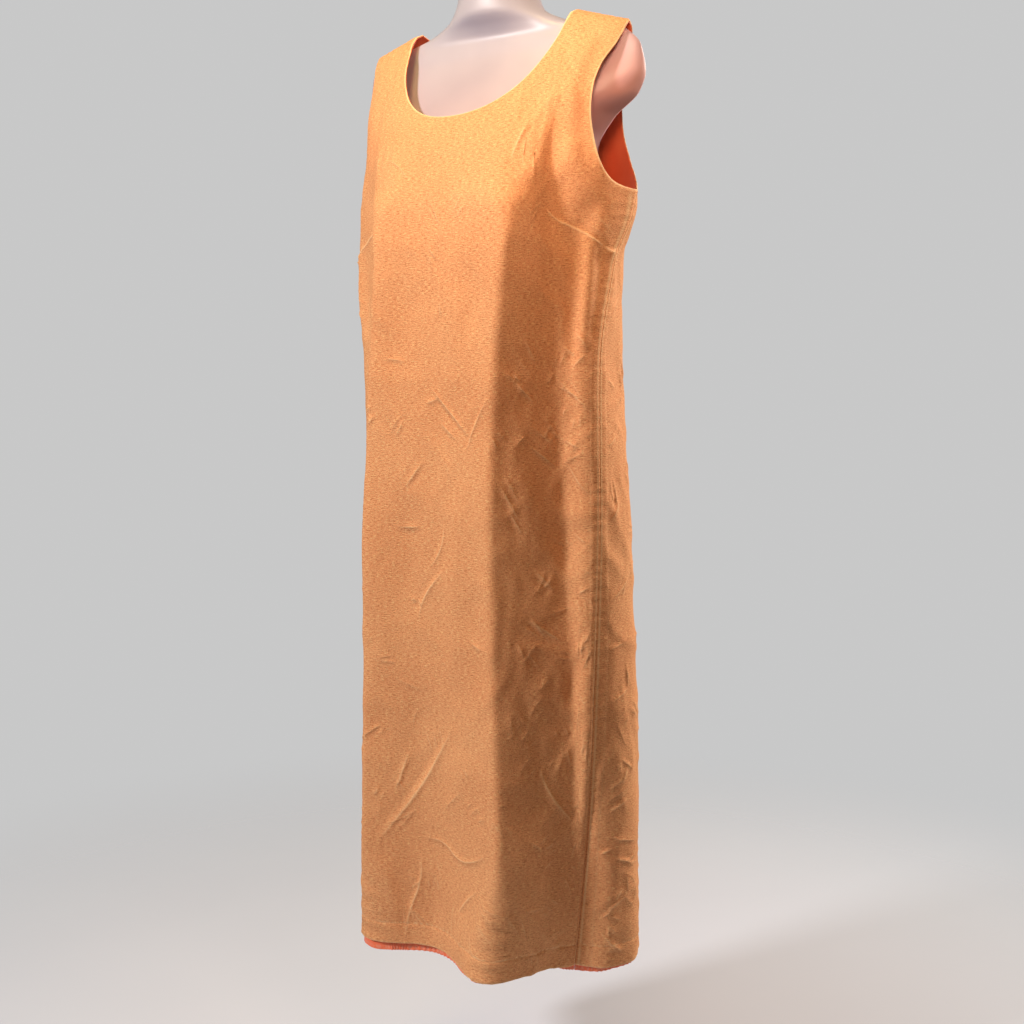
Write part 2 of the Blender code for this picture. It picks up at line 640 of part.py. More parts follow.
def build():
    for existing in list(bpy.data.objects):
        bpy.data.objects.remove(existing)
    cloth = make_material("apricot_cloth", (0.76, 0.37, 0.13), 0.85)
    lining = make_material("coral_lining", (0.62, 0.14, 0.05), 0.6)
    plastic = make_material("milky_plastic", (0.86, 0.86, 0.88), 0.35)
    steel = make_material("bright_steel", (0.7, 0.7, 0.72), 0.25, 1.0)
    under = CLOTH_WALL + LAYER_GAP
    for name, panel, partner, neck_drop in (
        ("front", FRONT, BACK, FRONT_NECK_DROP),
        ("back", BACK, FRONT, BACK_NECK_DROP),
    ):
        pattern = triangulate(panel, neck_drop)
        longer = lengthen(panel, *pattern, LINING_HEM_DROP)
        wall(f"dress_{name}", panel, partner, pattern, 0.0, CLOTH_WALL, cloth)
        wall(f"lining_{name}", panel, partner, longer, under, LINING_WALL, lining)
    build_form(plastic)
    build_hook(steel)


build()
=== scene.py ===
"""The looks of a long sleeveless shift dress, worn by an open-backed hanging torso form.

Metres, +Z up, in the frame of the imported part. The dress faces -Y, and +X is the wearer's left. A
place on the cloth is given on its flat pattern: the width across it from the right seam, and the
length of cloth down from the shoulder. The crease tables give millimetres across from the middle
of the panel and down from the shoulder.
"""

import math
from collections import namedtuple

import bmesh
import bpy
import numpy as np
from mathutils import Matrix, Vector, noise
from mathutils.geometry import delaunay_2d_cdt
from mathutils.kdtree import KDTree


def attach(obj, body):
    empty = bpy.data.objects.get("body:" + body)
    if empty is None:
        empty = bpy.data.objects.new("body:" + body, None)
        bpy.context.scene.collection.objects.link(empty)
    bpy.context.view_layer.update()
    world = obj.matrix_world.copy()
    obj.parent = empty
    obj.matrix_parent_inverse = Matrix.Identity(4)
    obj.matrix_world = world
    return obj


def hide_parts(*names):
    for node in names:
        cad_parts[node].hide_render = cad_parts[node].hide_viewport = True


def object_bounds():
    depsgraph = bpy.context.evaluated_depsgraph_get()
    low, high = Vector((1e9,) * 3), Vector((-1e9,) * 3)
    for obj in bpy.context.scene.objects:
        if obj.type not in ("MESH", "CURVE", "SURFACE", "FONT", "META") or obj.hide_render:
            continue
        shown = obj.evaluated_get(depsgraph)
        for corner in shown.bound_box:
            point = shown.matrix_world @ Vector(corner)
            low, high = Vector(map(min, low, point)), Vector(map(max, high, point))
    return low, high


bl_info = {
    "name": "Shift dress on a hanging form",
    "version": (1, 0, 0),
    "blender": (4, 5, 0),
    "location": "View3D > Sidebar > Shift dress",
    "description": "Builds the dress, its lining, the form and the hook around the packed part",
    "category": "Object",
}

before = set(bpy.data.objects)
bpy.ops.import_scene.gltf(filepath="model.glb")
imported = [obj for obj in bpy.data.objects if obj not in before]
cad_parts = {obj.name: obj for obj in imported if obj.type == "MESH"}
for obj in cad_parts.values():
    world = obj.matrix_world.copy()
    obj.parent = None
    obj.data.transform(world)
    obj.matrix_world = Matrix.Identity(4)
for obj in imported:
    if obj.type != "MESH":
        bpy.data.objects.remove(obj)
CAD_BOX = [list(corner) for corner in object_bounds()]

MM = 0.001

# ---------------------------------------------------------------------------------------------
# The shape that the cloth hangs in: a ladder of sections, level with the solids' own. The bust
# folds and the hollows beside them are rounded tighter here, and the chest is evened out.

HOOK_ABOVE_NECK = 0.062
NECK_ABOVE_SHOULDER = 0.078
SHOULDER_Z = -(HOOK_ABOVE_NECK + NECK_ABOVE_SHOULDER)
HEM_DROP = 1.165
LINING_HEM_DROP = 1.178

NECK_HALF_WIDTH = 0.117
FRONT_NECK_DROP = 0.125
BACK_NECK_DROP = 0.035
NECK_SQUARENESS = 2.2
SHOULDER_TIP_X = 0.190
SHOULDER_FALL = 0.021
SHOULDER_FALL_ENDS = 0.10
# How far the shoulder's slope goes on, inside the neckline and past the shoulder's tip.
SLOPE_ENDS = (-1, 1.3)
UNDERARM_DROP = 0.215
ARMHOLE_STRAIGHT_TO = 0.120
FRONT_ARMHOLE_INSET = 0.019
BACK_ARMHOLE_INSET = 0.032
ARMHOLE_INSET_BY = 0.10


def table_of(columns, *rows):
    """Rows whose columns have names."""
    kind = namedtuple("Row", columns)
    return [kind(*row) for row in rows]


MIDDLE = table_of(
    "drop centre_x centre_y left_bust_x left_bust_y right_bust_x bust_y corner_x corner_y back_y",
    (0.000, 0.000, 0.000, 0.118, 0.000, 0.118, 0.000, 0.118, 0.000, 0.000),
    (0.006, 0.000, -0.014, 0.118, -0.013, 0.118, -0.013, 0.118, 0.016, 0.016),
    (0.032, 0.000, -0.036, 0.117, -0.032, 0.115, -0.032, 0.120, 0.033, 0.034),
    (0.070, 0.000, -0.066, 0.118, -0.056, 0.113, -0.056, 0.122, 0.044, 0.045),
    (0.120, 0.000, -0.098, 0.120, -0.083, 0.108, -0.083, 0.125, 0.051, 0.053),
    (0.175, 0.000, -0.121, 0.121, -0.119, 0.096, -0.119, 0.130, 0.055, 0.058),
    (0.240, 0.000, -0.138, 0.120, -0.146, 0.079, -0.146, 0.140, 0.057, 0.061),
    (0.300, 0.000, -0.141, 0.114, -0.147, 0.076, -0.147, 0.143, 0.056, 0.063),
    (0.420, 0.000, -0.140, 0.101, -0.147, 0.086, -0.147, 0.150, 0.057, 0.065),
    (0.620, -0.005, -0.136, 0.096, -0.148, 0.097, -0.148, 0.163, 0.060, 0.068),
    (0.840, -0.012, -0.124, 0.102, -0.149, 0.102, -0.149, 0.174, 0.063, 0.071),
    (1.030, -0.018, -0.108, 0.110, -0.152, 0.111, -0.150, 0.176, 0.066, 0.073),
    (1.190, -0.022, -0.092, 0.092, -0.172, 0.118, -0.151, 0.177, 0.068, 0.075),
)
SIDE_COLUMNS = "drop hollow_x hollow_y turn_x turn_y seam_x seam_y knee_x knee_y flank_x flank_y"
# The shoulders are the same on both sides.
SIDE_TOP = (
    (0.000, 0.145, 0.000, 0.180, 0.000, 0.200, 0.000, 0.190, 0.000, 0.172, 0.000),
    (0.006, 0.145, -0.011, 0.182, -0.008, 0.204, 0.001, 0.192, 0.007, 0.170, 0.013),
    (0.032, 0.141, -0.027, 0.182, -0.023, 0.208, 0.001, 0.196, 0.012, 0.166, 0.029),
)
LEFT_SIDE = table_of(
    SIDE_COLUMNS,
    *SIDE_TOP,
    (0.070, 0.138, -0.045, 0.180, -0.043, 0.210, 0.003, 0.198, 0.015, 0.162, 0.040),
    (0.120, 0.140, -0.065, 0.180, -0.061, 0.210, 0.005, 0.198, 0.017, 0.160, 0.045),
    (0.175, 0.139, -0.079, 0.187, -0.061, 0.207, 0.005, 0.196, 0.017, 0.166, 0.041),
    (0.240, 0.138, -0.081, 0.184, -0.044, 0.199, -0.002, 0.192, 0.012, 0.176, 0.031),
    (0.300, 0.143, -0.081, 0.174, -0.050, 0.186, -0.022, 0.180, -0.002, 0.170, 0.022),
    (0.420, 0.140, -0.074, 0.172, -0.063, 0.182, -0.046, 0.179, -0.018, 0.172, 0.016),
    (0.620, 0.146, -0.065, 0.172, -0.060, 0.185, -0.048, 0.190, -0.020, 0.188, 0.013),
    (0.840, 0.157, -0.060, 0.175, -0.059, 0.180, -0.051, 0.196, -0.022, 0.200, 0.012),
    (1.030, 0.153, -0.056, 0.161, -0.049, 0.164, -0.042, 0.192, -0.028, 0.204, 0.012),
    (1.190, 0.128, -0.067, 0.141, -0.054, 0.149, -0.044, 0.185, -0.029, 0.208, 0.012),
)
RIGHT_SIDE = table_of(
    SIDE_COLUMNS,
    *SIDE_TOP,
    (0.070, 0.140, -0.045, 0.178, -0.041, 0.210, 0.003, 0.198, 0.015, 0.162, 0.040),
    (0.120, 0.139, -0.063, 0.174, -0.057, 0.206, 0.004, 0.196, 0.017, 0.160, 0.045),
    (0.175, 0.131, -0.076, 0.178, -0.055, 0.205, 0.002, 0.196, 0.017, 0.168, 0.041),
    (0.240, 0.129, -0.078, 0.190, -0.044, 0.210, -0.006, 0.203, 0.012, 0.188, 0.031),
    (0.300, 0.131, -0.076, 0.191, -0.045, 0.213, -0.012, 0.208, 0.006, 0.195, 0.022),
    (0.420, 0.142, -0.070, 0.180, -0.050, 0.201, -0.022, 0.198, -0.004, 0.190, 0.016),
    (0.620, 0.150, -0.064, 0.172, -0.054, 0.187, -0.036, 0.190, -0.014, 0.188, 0.013),
    (0.840, 0.160, -0.058, 0.178, -0.052, 0.187, -0.042, 0.192, -0.018, 0.192, 0.012),
    (1.030, 0.170, -0.054, 0.184, -0.046, 0.193, -0.035, 0.200, -0.014, 0.200, 0.012),
    (1.190, 0.177, -0.050, 0.192, -0.041, 0.202, -0.029, 0.208, -0.010, 0.207, 0.012),
)

CHEST_ROUND = 0.055
BUST_FOLD_ROUND = 0.007
HEM_FOLD_ROUND = 0.045
HOLLOW_ROUND = 0.007
TURN_ROUND = 0.013
CENTRE_ROUND = 0.045
CORNER_ROUND = 0.030
FLANK_ROUND = 0.022
KNEE_ROUND = 0.012
ROUND_SHARE = 0.45
CHEST_ENDS = 0.14
EVEN_REACH = 0.034
EVEN_STARTS = (0.006, 0.040)
EVEN_ENDS = (0.15, 0.25)
FOLD_STARTS = 0.29
FOLD_OPENS = 1.00
FOLD_OPEN = 1.16
WAIST_DROP = 0.42
SECTION_CORNERS = 9
HALVINGS = 40


def smooth(knots, values, at):
    """Values interpolated along a smooth curve that never overshoots its knots."""
    knots = np.asarray(knots, float)
    values = np.asarray(values, float)
    steps = np.diff(knots)
    slopes = np.diff(values) / steps
    tangents = np.empty_like(values)
    tangents[0] = slopes[0]
    tangents[-1] = slopes[-1]
    before, after = slopes[:-1], slopes[1:]
    same_way = before * after > 0
    weights = (steps[:-1] + 2 * steps[1:], 2 * steps[:-1] + steps[1:])
    safe = [np.where(same_way, side, 1.0) for side in (after, before)]
    mean = sum(weights) / (weights[0] / safe[0] + weights[1] / safe[1])
    tangents[1:-1] = np.where(same_way, mean, 0.0)
    at = np.clip(at, knots[0], knots[-1])
    i = np.clip(np.searchsorted(knots, at, side="right") - 1, 0, len(steps) - 1)
    h = steps[i]
    s = (at - knots[i]) / h
    return (
        values[i] * (1 + 2 * s) * (1 - s) ** 2
        + h * tangents[i] * s * (1 - s) ** 2
        + values[i + 1] * s**2 * (3 - 2 * s)
        + h * tangents[i + 1] * s**2 * (s - 1)
    )


def fade(start, end, at):
    """0 up to start, 1 from end, and a smooth step between them."""
    s = np.clip((at - start) / (end - start), 0, 1)
    return s * s * (3 - 2 * s)


def bell(distance, half_width):
    return np.exp(-((distance / half_width) ** 2))


def column(rows, name):
    return np.array([getattr(row, name) for row in rows])


DROPS = column(MIDDLE, "drop")
FALLS = np.hypot(np.diff(DROPS), np.diff(column(MIDDLE, "bust_y")))
LENGTHS = np.concatenate([[0.0], np.cumsum(FALLS)])


def drop_at(length):
    return smooth(LENGTHS, DROPS, length)


def turning_point(is_short, low, high):
    """Where between low and high is_short stops being true, found by halving."""
    for _ in range(HALVINGS):
        middle = (low + high) / 2
        short = is_short(middle)
        low, high = np.where(short, middle, low), np.where(short, high, middle)
    return (low + high) / 2


def length_at(drop):
    """The inverse of drop_at."""
    low = np.zeros_like(np.asarray(drop, float))
    return turning_point(lambda length: drop_at(length) < drop, low, low + LENGTHS[-1])


UNDERARM_LENGTH = float(length_at(UNDERARM_DROP))
HEM_LENGTH = float(length_at(HEM_DROP))
LINING_LENGTH = float(length_at(LINING_HEM_DROP))


def read_table(table, length):
    """Every column of a table, read between its rows at each length of cloth."""
    return type(table[0])(*(smooth(LENGTHS, column(table, name), length) for name in table[0]._fields))


def folds_of(side, way, names):
    """The named folds of one side of a section. way is -1 for the right side and 1 for the left."""
    return [(way * getattr(side, f"{name}_x"), getattr(side, f"{name}_y")) for name in names]


def front_corners(length):
    """The front's folds from the right seam to the left one, as points and how far each is rounded."""
    middle = read_table(MIDDLE, length)
    left, right = read_table(LEFT_SIDE, length), read_table(RIGHT_SIDE, length)
    points = [
        *folds_of(right, -1, ("seam", "turn", "hollow")),
        (-middle.right_bust_x, middle.bust_y),
        (middle.centre_x, middle.centre_y),
        (middle.left_bust_x, middle.left_bust_y),
        *folds_of(left, 1, ("hollow", "turn", "seam")),
    ]
    bust = CHEST_ROUND + (BUST_FOLD_ROUND - CHEST_ROUND) * fade(CHEST_ENDS, FOLD_STARTS, middle.drop)
    bust = bust + (HEM_FOLD_ROUND - BUST_FOLD_ROUND) * fade(FOLD_OPENS, FOLD_OPEN, middle.drop)
    return points, (0, TURN_ROUND, HOLLOW_ROUND, bust, CENTRE_ROUND, bust, HOLLOW_ROUND, TURN_ROUND, 0)


def back_corners(length):
    """The back's folds from the right seam to the left one, as points and how far each is rounded."""
    middle = read_table(MIDDLE, length)
    left, right = read_table(LEFT_SIDE, length), read_table(RIGHT_SIDE, length)
    points = [
        *folds_of(right, -1, ("seam", "knee", "flank")),
        (-middle.corner_x, middle.corner_y),
        (0 * middle.back_y, middle.back_y),
        (middle.corner_x, middle.corner_y),
        *folds_of(left, 1, ("flank", "knee", "seam")),
    ]
    side = (KNEE_ROUND, FLANK_ROUND, CORNER_ROUND)
    return points, (0, *side, CENTRE_ROUND, *reversed(side), 0)


def along_section(corners, across):
    """The (x, y) of points at `across` on a section. A stretch between two corners, and each
    corner, takes 1 of it, so the section of n corners runs from 0 to 2 n - 3."""
    points, roundings = corners
    points = [np.stack(np.broadcast_arrays(*p), -1) for p in points]
    spans = [b - a for a, b in zip(points, points[1:])]
    reach = [np.linalg.norm(span, axis=-1) for span in spans]
    ways = [span / size[..., None] for span, size in zip(spans, reach)]
    trimmed = [0 * reach[0]]
    for i in range(1, len(points) - 1):
        room = ROUND_SHARE * np.minimum(reach[i - 1], reach[i])
        trimmed.append(np.minimum(roundings[i], room))
    trimmed.append(0 * reach[0])
    pieces = []
    for i, way in enumerate(ways):
        start = points[i] + way * trimmed[i][..., None]
        end = points[i + 1] - way * trimmed[i + 1][..., None]
        pieces.append((start, (start + end) / 2, end))
        if i + 1 < len(ways):
            leave = points[i + 1] + ways[i + 1] * trimmed[i + 1][..., None]
            pieces.append((end, points[i + 1], leave))
    stack = np.array([np.stack(np.broadcast_arrays(*piece)) for piece in pieces])
    piece = np.clip(np.floor(across).astype(int), 0, len(pieces) - 1)
    s = (across - piece)[..., None]
    rows = np.arange(len(across))
    start, turn, end = (stack[piece, k, rows] for k in range(3))
    return start * (1 - s) ** 2 + 2 * turn * s * (1 - s) + end * s**2


# How closely the cloth is sampled to measure it: steps to each stretch or corner of the waist,
# columns across and rows in metres of the cloth as it lies, and the step that a direction takes.
STRETCH_STEPS = 40
LYING_COLUMNS = 241
LYING_ROW = 0.008
DIRECTION_STEP = 0.0008


class Panel:
    """One panel's surface: where a point of its flat pattern lies in space."""

    def __init__(self, corners, facing, armhole_inset, neck_drop):
        self.corners = corners
        self.armhole_inset = armhole_inset
        self.neck_drop = neck_drop
        self.facing = facing
        across_end = 2 * SECTION_CORNERS - 3
        # The flat width at each stretch and corner, taken at the waist.
        steps = np.linspace(0, across_end, STRETCH_STEPS * across_end + 1)
        waist = along_section(corners(np.full(len(steps), length_at(WAIST_DROP))), steps)
        widths = np.concatenate([[0], np.cumsum(np.linalg.norm(np.diff(waist, axis=0), axis=1))])
        self.steps, self.widths = steps, widths
        self.middle = np.interp(across_end / 2, steps, widths)
        self.width = widths[-1]

    def place(self, width, length):
        """Points in space for arrays of pattern widths and lengths."""
        drop = drop_at(length)
        corners = self.corners(length)
        xy = along_section(corners, np.interp(width, self.widths, self.steps))
        # Above the bust the folds lie too close together to be round, so they are evened out.
        room = np.clip(np.minimum(width, self.width - width), 0, EVEN_REACH)
        reach = room * fade(*EVEN_STARTS, drop) * (1 - fade(*EVEN_ENDS, drop))
        if reach.any():
            sides = [
                along_section(corners, np.interp(width + k * reach, self.widths, self.steps))
                for k in (-1, -0.5, 0.5, 1)
            ]
            xy = (xy * 2 + sides[0] + 2 * sides[1] + 2 * sides[2] + sides[3]) / 8
        slope = (np.abs(xy[:, 0]) - NECK_HALF_WIDTH) / (SHOULDER_TIP_X - NECK_HALF_WIDTH)
        fall = SHOULDER_FALL * np.clip(slope, *SLOPE_ENDS) * (1 - fade(0, SHOULDER_FALL_ENDS, drop))
        return np.column_stack([xy, SHOULDER_Z - drop - fall])

    def as_it_lies(self, flat):
        """The pattern's points with the width measured along the cloth as it lies in its folds, so
        that what is drawn on the cloth isn't stretched where a fold takes more of it."""
        widths = np.linspace(0, self.width, LYING_COLUMNS)
        lengths = np.arange(0, flat[:, 1].max() + 2 * LYING_ROW, LYING_ROW)
        rows = np.array([self.place(widths, np.full(len(widths), length)) for length in lengths])
        runs = np.cumsum(np.linalg.norm(np.diff(rows, axis=1), axis=2), axis=1)
        runs = np.column_stack([0 * lengths, runs])
        runs = runs - runs[:, [LYING_COLUMNS // 2]] + self.middle
        column, row = flat[:, 0] / self.width * (LYING_COLUMNS - 1), flat[:, 1] / LYING_ROW
        i = np.minimum(column.astype(int), LYING_COLUMNS - 2)
        j = row.astype(int)
        s, t = column - i, row - j
        upper = runs[j, i] * (1 - s) + runs[j, i + 1] * s
        lower = runs[j + 1, i] * (1 - s) + runs[j + 1, i + 1] * s
        return np.column_stack([upper * (1 - t) + lower * t, flat[:, 1]])

    def directions(self, width, length):
        """The unit ways across and down the cloth, and its outward normal."""
        step = DIRECTION_STEP
        low, high = np.maximum(width - step, 0), np.minimum(width + step, self.width)
        over = self.place(high, length) - self.place(low, length)
        up, down = np.maximum(length - step, 0), np.minimum(length + step, LENGTHS[-1])
        fall = self.place(width, down) - self.place(width, up)
        over /= np.linalg.norm(over, axis=1)[:, None]
        fall /= np.linalg.norm(fall, axis=1)[:, None]
        normal = np.cross(fall, over) * self.facing
        normal /= np.linalg.norm(normal, axis=1)[:, None]
        return over, fall, normal

    def width_where(self, x, length, low, high):
        """The pattern width between low and high at which the section reaches x."""
        low, high = low + 0 * length, high + 0 * length
        return turning_point(lambda width: self.place(width, length)[:, 0] < x, low, high)

    def half(self, side):
        return (self.middle, self.width) if side > 0 else (0.0, self.middle)


FRONT = Panel(front_corners, 1, FRONT_ARMHOLE_INSET, FRONT_NECK_DROP)
BACK = Panel(back_corners, -1, BACK_ARMHOLE_INSET, BACK_NECK_DROP)


# ---------------------------------------------------------------------------------------------
# The cut, and the mesh of the flat pattern.

EDGE_SPACING = 0.0032
EDGE_RINGS = (0.0008, 0.0018, 0.0034, 0.0056)
SEAM_STRIPS = (0.0012, 0.0026, 0.0046, 0.0072, 0.0100, 0.0126, 0.0152)
SEAM_ROW_SPACING = 0.0030
HEM_STRIPS = (0.0012, 0.0034, 0.0240, 0.0257, 0.0270, 0.0283, 0.0300)
LINING_HEM_STRIPS = (0.0010, 0.0024, 0.0044, 0.0070, 0.0100, 0.0135, 0.0175)
HEM_COLUMN_SPACING = 0.0026
LINING_HEM_COLUMN_SPACING = 0.0017
CREASE_SPACING = 0.0026
# How far points stay from the edge, and how far apart, along the seams and over the creases.
STRIP_MARGIN, STRIP_GAP = 0.0009, 0.0008
CREASE_MARGIN, CREASE_CELL, CREASE_GAP = 0.002, 0.0011, 0.0012
# How far below the underarm the curved edges still count: for what the cut holds, and for relief.
HELD_BELOW, RELIEF_BELOW = 0.02, 0.05
# How closely a line is taken where the distance to it is measured.
FINE_STEP = 0.0008
TINY = 1e-6


def run_of(line):
    """How far along a line each of its points is."""
    return np.concatenate([[0], np.cumsum(np.hypot(*np.diff(line, axis=0).T))])


def beside(line, offsets):
    """A line's points moved sideways, by each of the offsets in turn."""
    way = np.gradient(line, axis=0)
    way = np.column_stack([-way[:, 1], way[:, 0]]) / np.hypot(*way.T)[:, None]
    return np.concatenate([line + offset * way for offset in offsets])


def spaced(points, step):
    """A line of points taken again at an even spacing, with its ends kept."""
    points = np.asarray(points, float)
    run = run_of(points)
    at = np.linspace(0, run[-1], max(2, math.ceil(run[-1] / step) + 1))
    return np.column_stack([np.interp(at, run, points[:, k]) for k in (0, 1)])


def neck_curve(panel, side):
    """Half the neckline, from the centre up to one shoulder, in the flat pattern."""
    angles = np.linspace(0, math.pi / 2, 61)
    x = NECK_HALF_WIDTH * np.sin(angles) ** (2 / NECK_SQUARENESS)
    length = length_at(panel.neck_drop * np.clip(np.cos(angles), 0, 1) ** (2 / NECK_SQUARENESS))
    return np.column_stack([panel.width_where(side * x, length, *panel.half(side)), length])


def armhole_curve(panel, side):
    """One armhole edge, from the shoulder tip down to the underarm, in the flat pattern."""
    straight = length_at(np.linspace(0, ARMHOLE_STRAIGHT_TO, 31))
    inset = SHOULDER_TIP_X - panel.armhole_inset * fade(0, ARMHOLE_INSET_BY, drop_at(straight))
    edge = panel.width_where(side * inset, straight, *panel.half(side))
    angles = np.linspace(0, math.pi / 2, 41)[1:]
    seam = panel.width if side > 0 else 0.0
    sweep = edge[-1] + (seam - edge[-1]) * (1 - np.cos(angles))
    fall = straight[-1] + (UNDERARM_LENGTH - straight[-1]) * np.sin(angles)
    return np.column_stack([np.append(edge, sweep), np.append(straight, fall)])


class Cut:
    """A panel's cut, on the flat pattern: its curved edges, and its whole outline in order."""

    def __init__(self, panel, hem_length, hem_spacing):
        self.panel, self.hem = panel, hem_length
        neck = np.concatenate([neck_curve(panel, 1)[::-1], neck_curve(panel, -1)[1:]])
        left, right = armhole_curve(panel, 1)[::-1], armhole_curve(panel, -1)
        self.curves = [spaced(line, EDGE_SPACING) for line in (left, neck, right)]
        left, neck, right = self.curves
        width = panel.width
        straights = [
            spaced([(0, hem_length), (width, hem_length)], hem_spacing),
            spaced([(width, hem_length), left[0]], SEAM_ROW_SPACING),
            left,
            spaced([left[-1], neck[0]], EDGE_SPACING),
            neck,
            spaced([neck[-1], right[0]], EDGE_SPACING),
            right,
            spaced([right[-1], (0, hem_length)], SEAM_ROW_SPACING),
        ]
        self.outline = np.concatenate([line[:-1] for line in straights])

    def holds(self, points, margin):
        """Which points lie on the cut, at least margin from its edge."""
        width, length = points.T
        held = (width > margin) & (width < self.panel.width - margin) & (length < self.hem - margin)
        high = length < UNDERARM_LENGTH + margin
        top = self.outline[self.outline[:, 1] < UNDERARM_LENGTH + HELD_BELOW]
        near = nearest(top, points[high])[0]
        some = points[high]
        within = np.zeros(len(some), bool)
        for p, q in zip(self.outline, np.roll(self.outline, -1, axis=0)):
            if p[1] != q[1]:
                crosses = (p[1] > some[:, 1]) != (q[1] > some[:, 1])
                reach = (q[0] - p[0]) * (some[:, 1] - p[1]) / (q[1] - p[1]) + p[0]
                within ^= crosses & (some[:, 0] < reach)
        held[high] &= within & (near > margin)
        return held


def tree_of(points):
    tree = KDTree(len(points))
    for i, (x, y) in enumerate(points):
        tree.insert((x, y, 0), i)
    tree.balance()
    return tree


def nearest(line, points):
    """The distance from each point to a densely taken line, and the place in the line."""
    tree = tree_of(line)
    found = [tree.find((x, y, 0)) for x, y in points]
    return np.array([f[2] for f in found]), np.array([f[1] for f in found], int)


def apart(kept, more, distance):
    """The kept points, and those of the others that are at least a distance from all of them."""
    if not len(more):
        return kept
    near, _ = nearest(kept, more)
    return np.concatenate([kept, more[near > distance]])


def lattice(widths, lengths):
    return np.array([(w, l) for l in lengths for w in widths])


def flat_mesh(cut, creases, grid, hem_strips, hem_spacing):
    """The pattern as points and triangles, its outline first. Points lie close together in rings
    inside the curved edges, along the seams and the hem, and across each crease."""
    panel = cut.panel
    points = cut.outline
    insets = [side * inset for side in (-1, 1) for inset in EDGE_RINGS]
    rings = np.concatenate([beside(curve, insets) for curve in cut.curves])
    rings = rings[cut.holds(rings, 0.7 * EDGE_RINGS[0])]
    points = apart(points, rings, 0.6 * EDGE_RINGS[0])
    rows = np.arange(UNDERARM_LENGTH, cut.hem, SEAM_ROW_SPACING)
    strips = [lattice((inset, panel.width - inset), rows) for inset in SEAM_STRIPS]
    columns = np.arange(0, panel.width, hem_spacing)
    strips.append(lattice(columns, [cut.hem - inset for inset in hem_strips]))
    strips = np.concatenate(strips)
    points = apart(points, strips[cut.holds(strips, STRIP_MARGIN)], STRIP_GAP)
    lines = [crease.mesh_points() for crease in creases if crease.is_fine()]
    if lines:
        lines = np.concatenate(lines)
        lines = lines[cut.holds(lines, CREASE_MARGIN)]
        order = np.argsort(lines[:, 1] // MM, kind="stable")
        points = apart(points, thinned(lines[order], CREASE_CELL), CREASE_GAP)
    widths = np.arange(grid / 2, panel.width, grid)
    spread = lattice(widths, np.arange(grid / 2, cut.hem, grid))
    spread[:, 0] += np.where((spread[:, 1] / grid).astype(int) % 2, 0.25, -0.25) * grid
    points = apart(points, spread[cut.holds(spread, 0.4 * grid)], 0.5 * grid)
    made = delaunay_2d_cdt([Vector(p) for p in points], [], [list(range(len(cut.outline)))], 1, TINY)
    return np.array([tuple(v) for v in made[0]]), [tuple(f) for f in made[2]]


def thinned(points, distance):
    """Points with at most one in each square cell of that size."""
    cells = np.floor(points / distance).astype(np.int64)
    _, first = np.unique(cells, axis=0, return_index=True)
    return points[np.sort(first)]


# ---------------------------------------------------------------------------------------------
# Creases. A fine one is a sharp ridge with a shallow trough along one side. A broad one is a soft
# ridge, or a trough where its height is below 0. A crease's path, half width and height are in
# millimetres, and what goes across it is counted in half widths.

FINE_CREASE = 7.0
CREASE_OFFSETS = (-1.7, -0.8, -0.35, 0.0, 0.35, 0.8, 1.6, 2.6)
SMALL_CREASE_OFFSETS = (-1.0, -0.4, 0.0, 0.4, 1.2)
CREASE_RISE = 1.5
CREASE_REACH = 4.2
CREASE_TAPER = 0.7
CORNER_CUTS = 2


class Crease:
    """One crease: its path on the flat pattern, its corners cut off, and its section."""

    def __init__(self, path, half_width, height, middle, small=False):
        path = np.array(path, float) * MM + (middle, 0)
        for _ in range(CORNER_CUTS):
            cut = np.concatenate([0.75 * path[:-1] + 0.25 * path[1:], 0.25 * path[:-1] + 0.75 * path[1:]])
            order = np.argsort(np.tile(np.arange(len(path) - 1), 2), kind="stable")
            path = np.concatenate([path[:1], cut[order], path[-1:]])
        self.path, self.half_width, self.height = path, half_width * MM, height * MM
        self.small = small

    def is_fine(self):
        return self.half_width < FINE_CREASE * MM

    def mesh_points(self):
        offsets = SMALL_CREASE_OFFSETS if self.small else CREASE_OFFSETS
        return beside(spaced(self.path, CREASE_SPACING), [k * self.half_width for k in offsets])

    def raise_cloth(self, points, height, ridge):
        """Adds this crease to the height of the cloth, and a painted highlight along a fine one's crest."""
        reach = CREASE_REACH * self.half_width
        low, high = self.path.min(0) - reach, self.path.max(0) + reach
        some = np.nonzero(((points > low) & (points < high)).all(1))[0]
        if not len(some):
            return
        best = np.full(len(some), np.inf)
        side, share = np.zeros(len(some)), np.zeros(len(some))
        run = run_of(self.path)
        for a, b, start in zip(self.path, self.path[1:], run):
            way = b - a
            size = math.hypot(*way)
            if size < TINY:
                continue
            off = points[some] - a
            along = np.clip(off @ way / size**2, 0, 1)
            gap = np.hypot(*(off - along[:, None] * way).T)
            nearer = gap < best
            best = np.where(nearer, gap, best)
            turn = np.sign(way[0] * off[:, 1] - way[1] * off[:, 0])
            side = np.where(nearer, turn, side)
            share = np.where(nearer, (start + along * size) / run[-1], share)
        taper = np.sin(math.pi * np.clip(share, 0, 1)) ** CREASE_TAPER
        across = side * best / self.half_width
        if self.is_fine():
            crest = 0.45 * np.exp(-np.abs(across) / 0.7) + 0.55 * bell(across, 0.9)
            trough = 0.5 * bell(across - 1.9, 1.3) * (across > 0)
            shape = crest - trough
            # Painted highlight: a fine crease's crest is painted paler, as if light caught it.
            sharp = 0.85 * bell(across, 0.34) * taper * min(1.0, self.height / MM)
            ridge[some] = np.maximum(ridge[some], sharp)
        else:
            shape = bell(across, 1.0)
        height[some] += CREASE_RISE * self.height * taper * shape


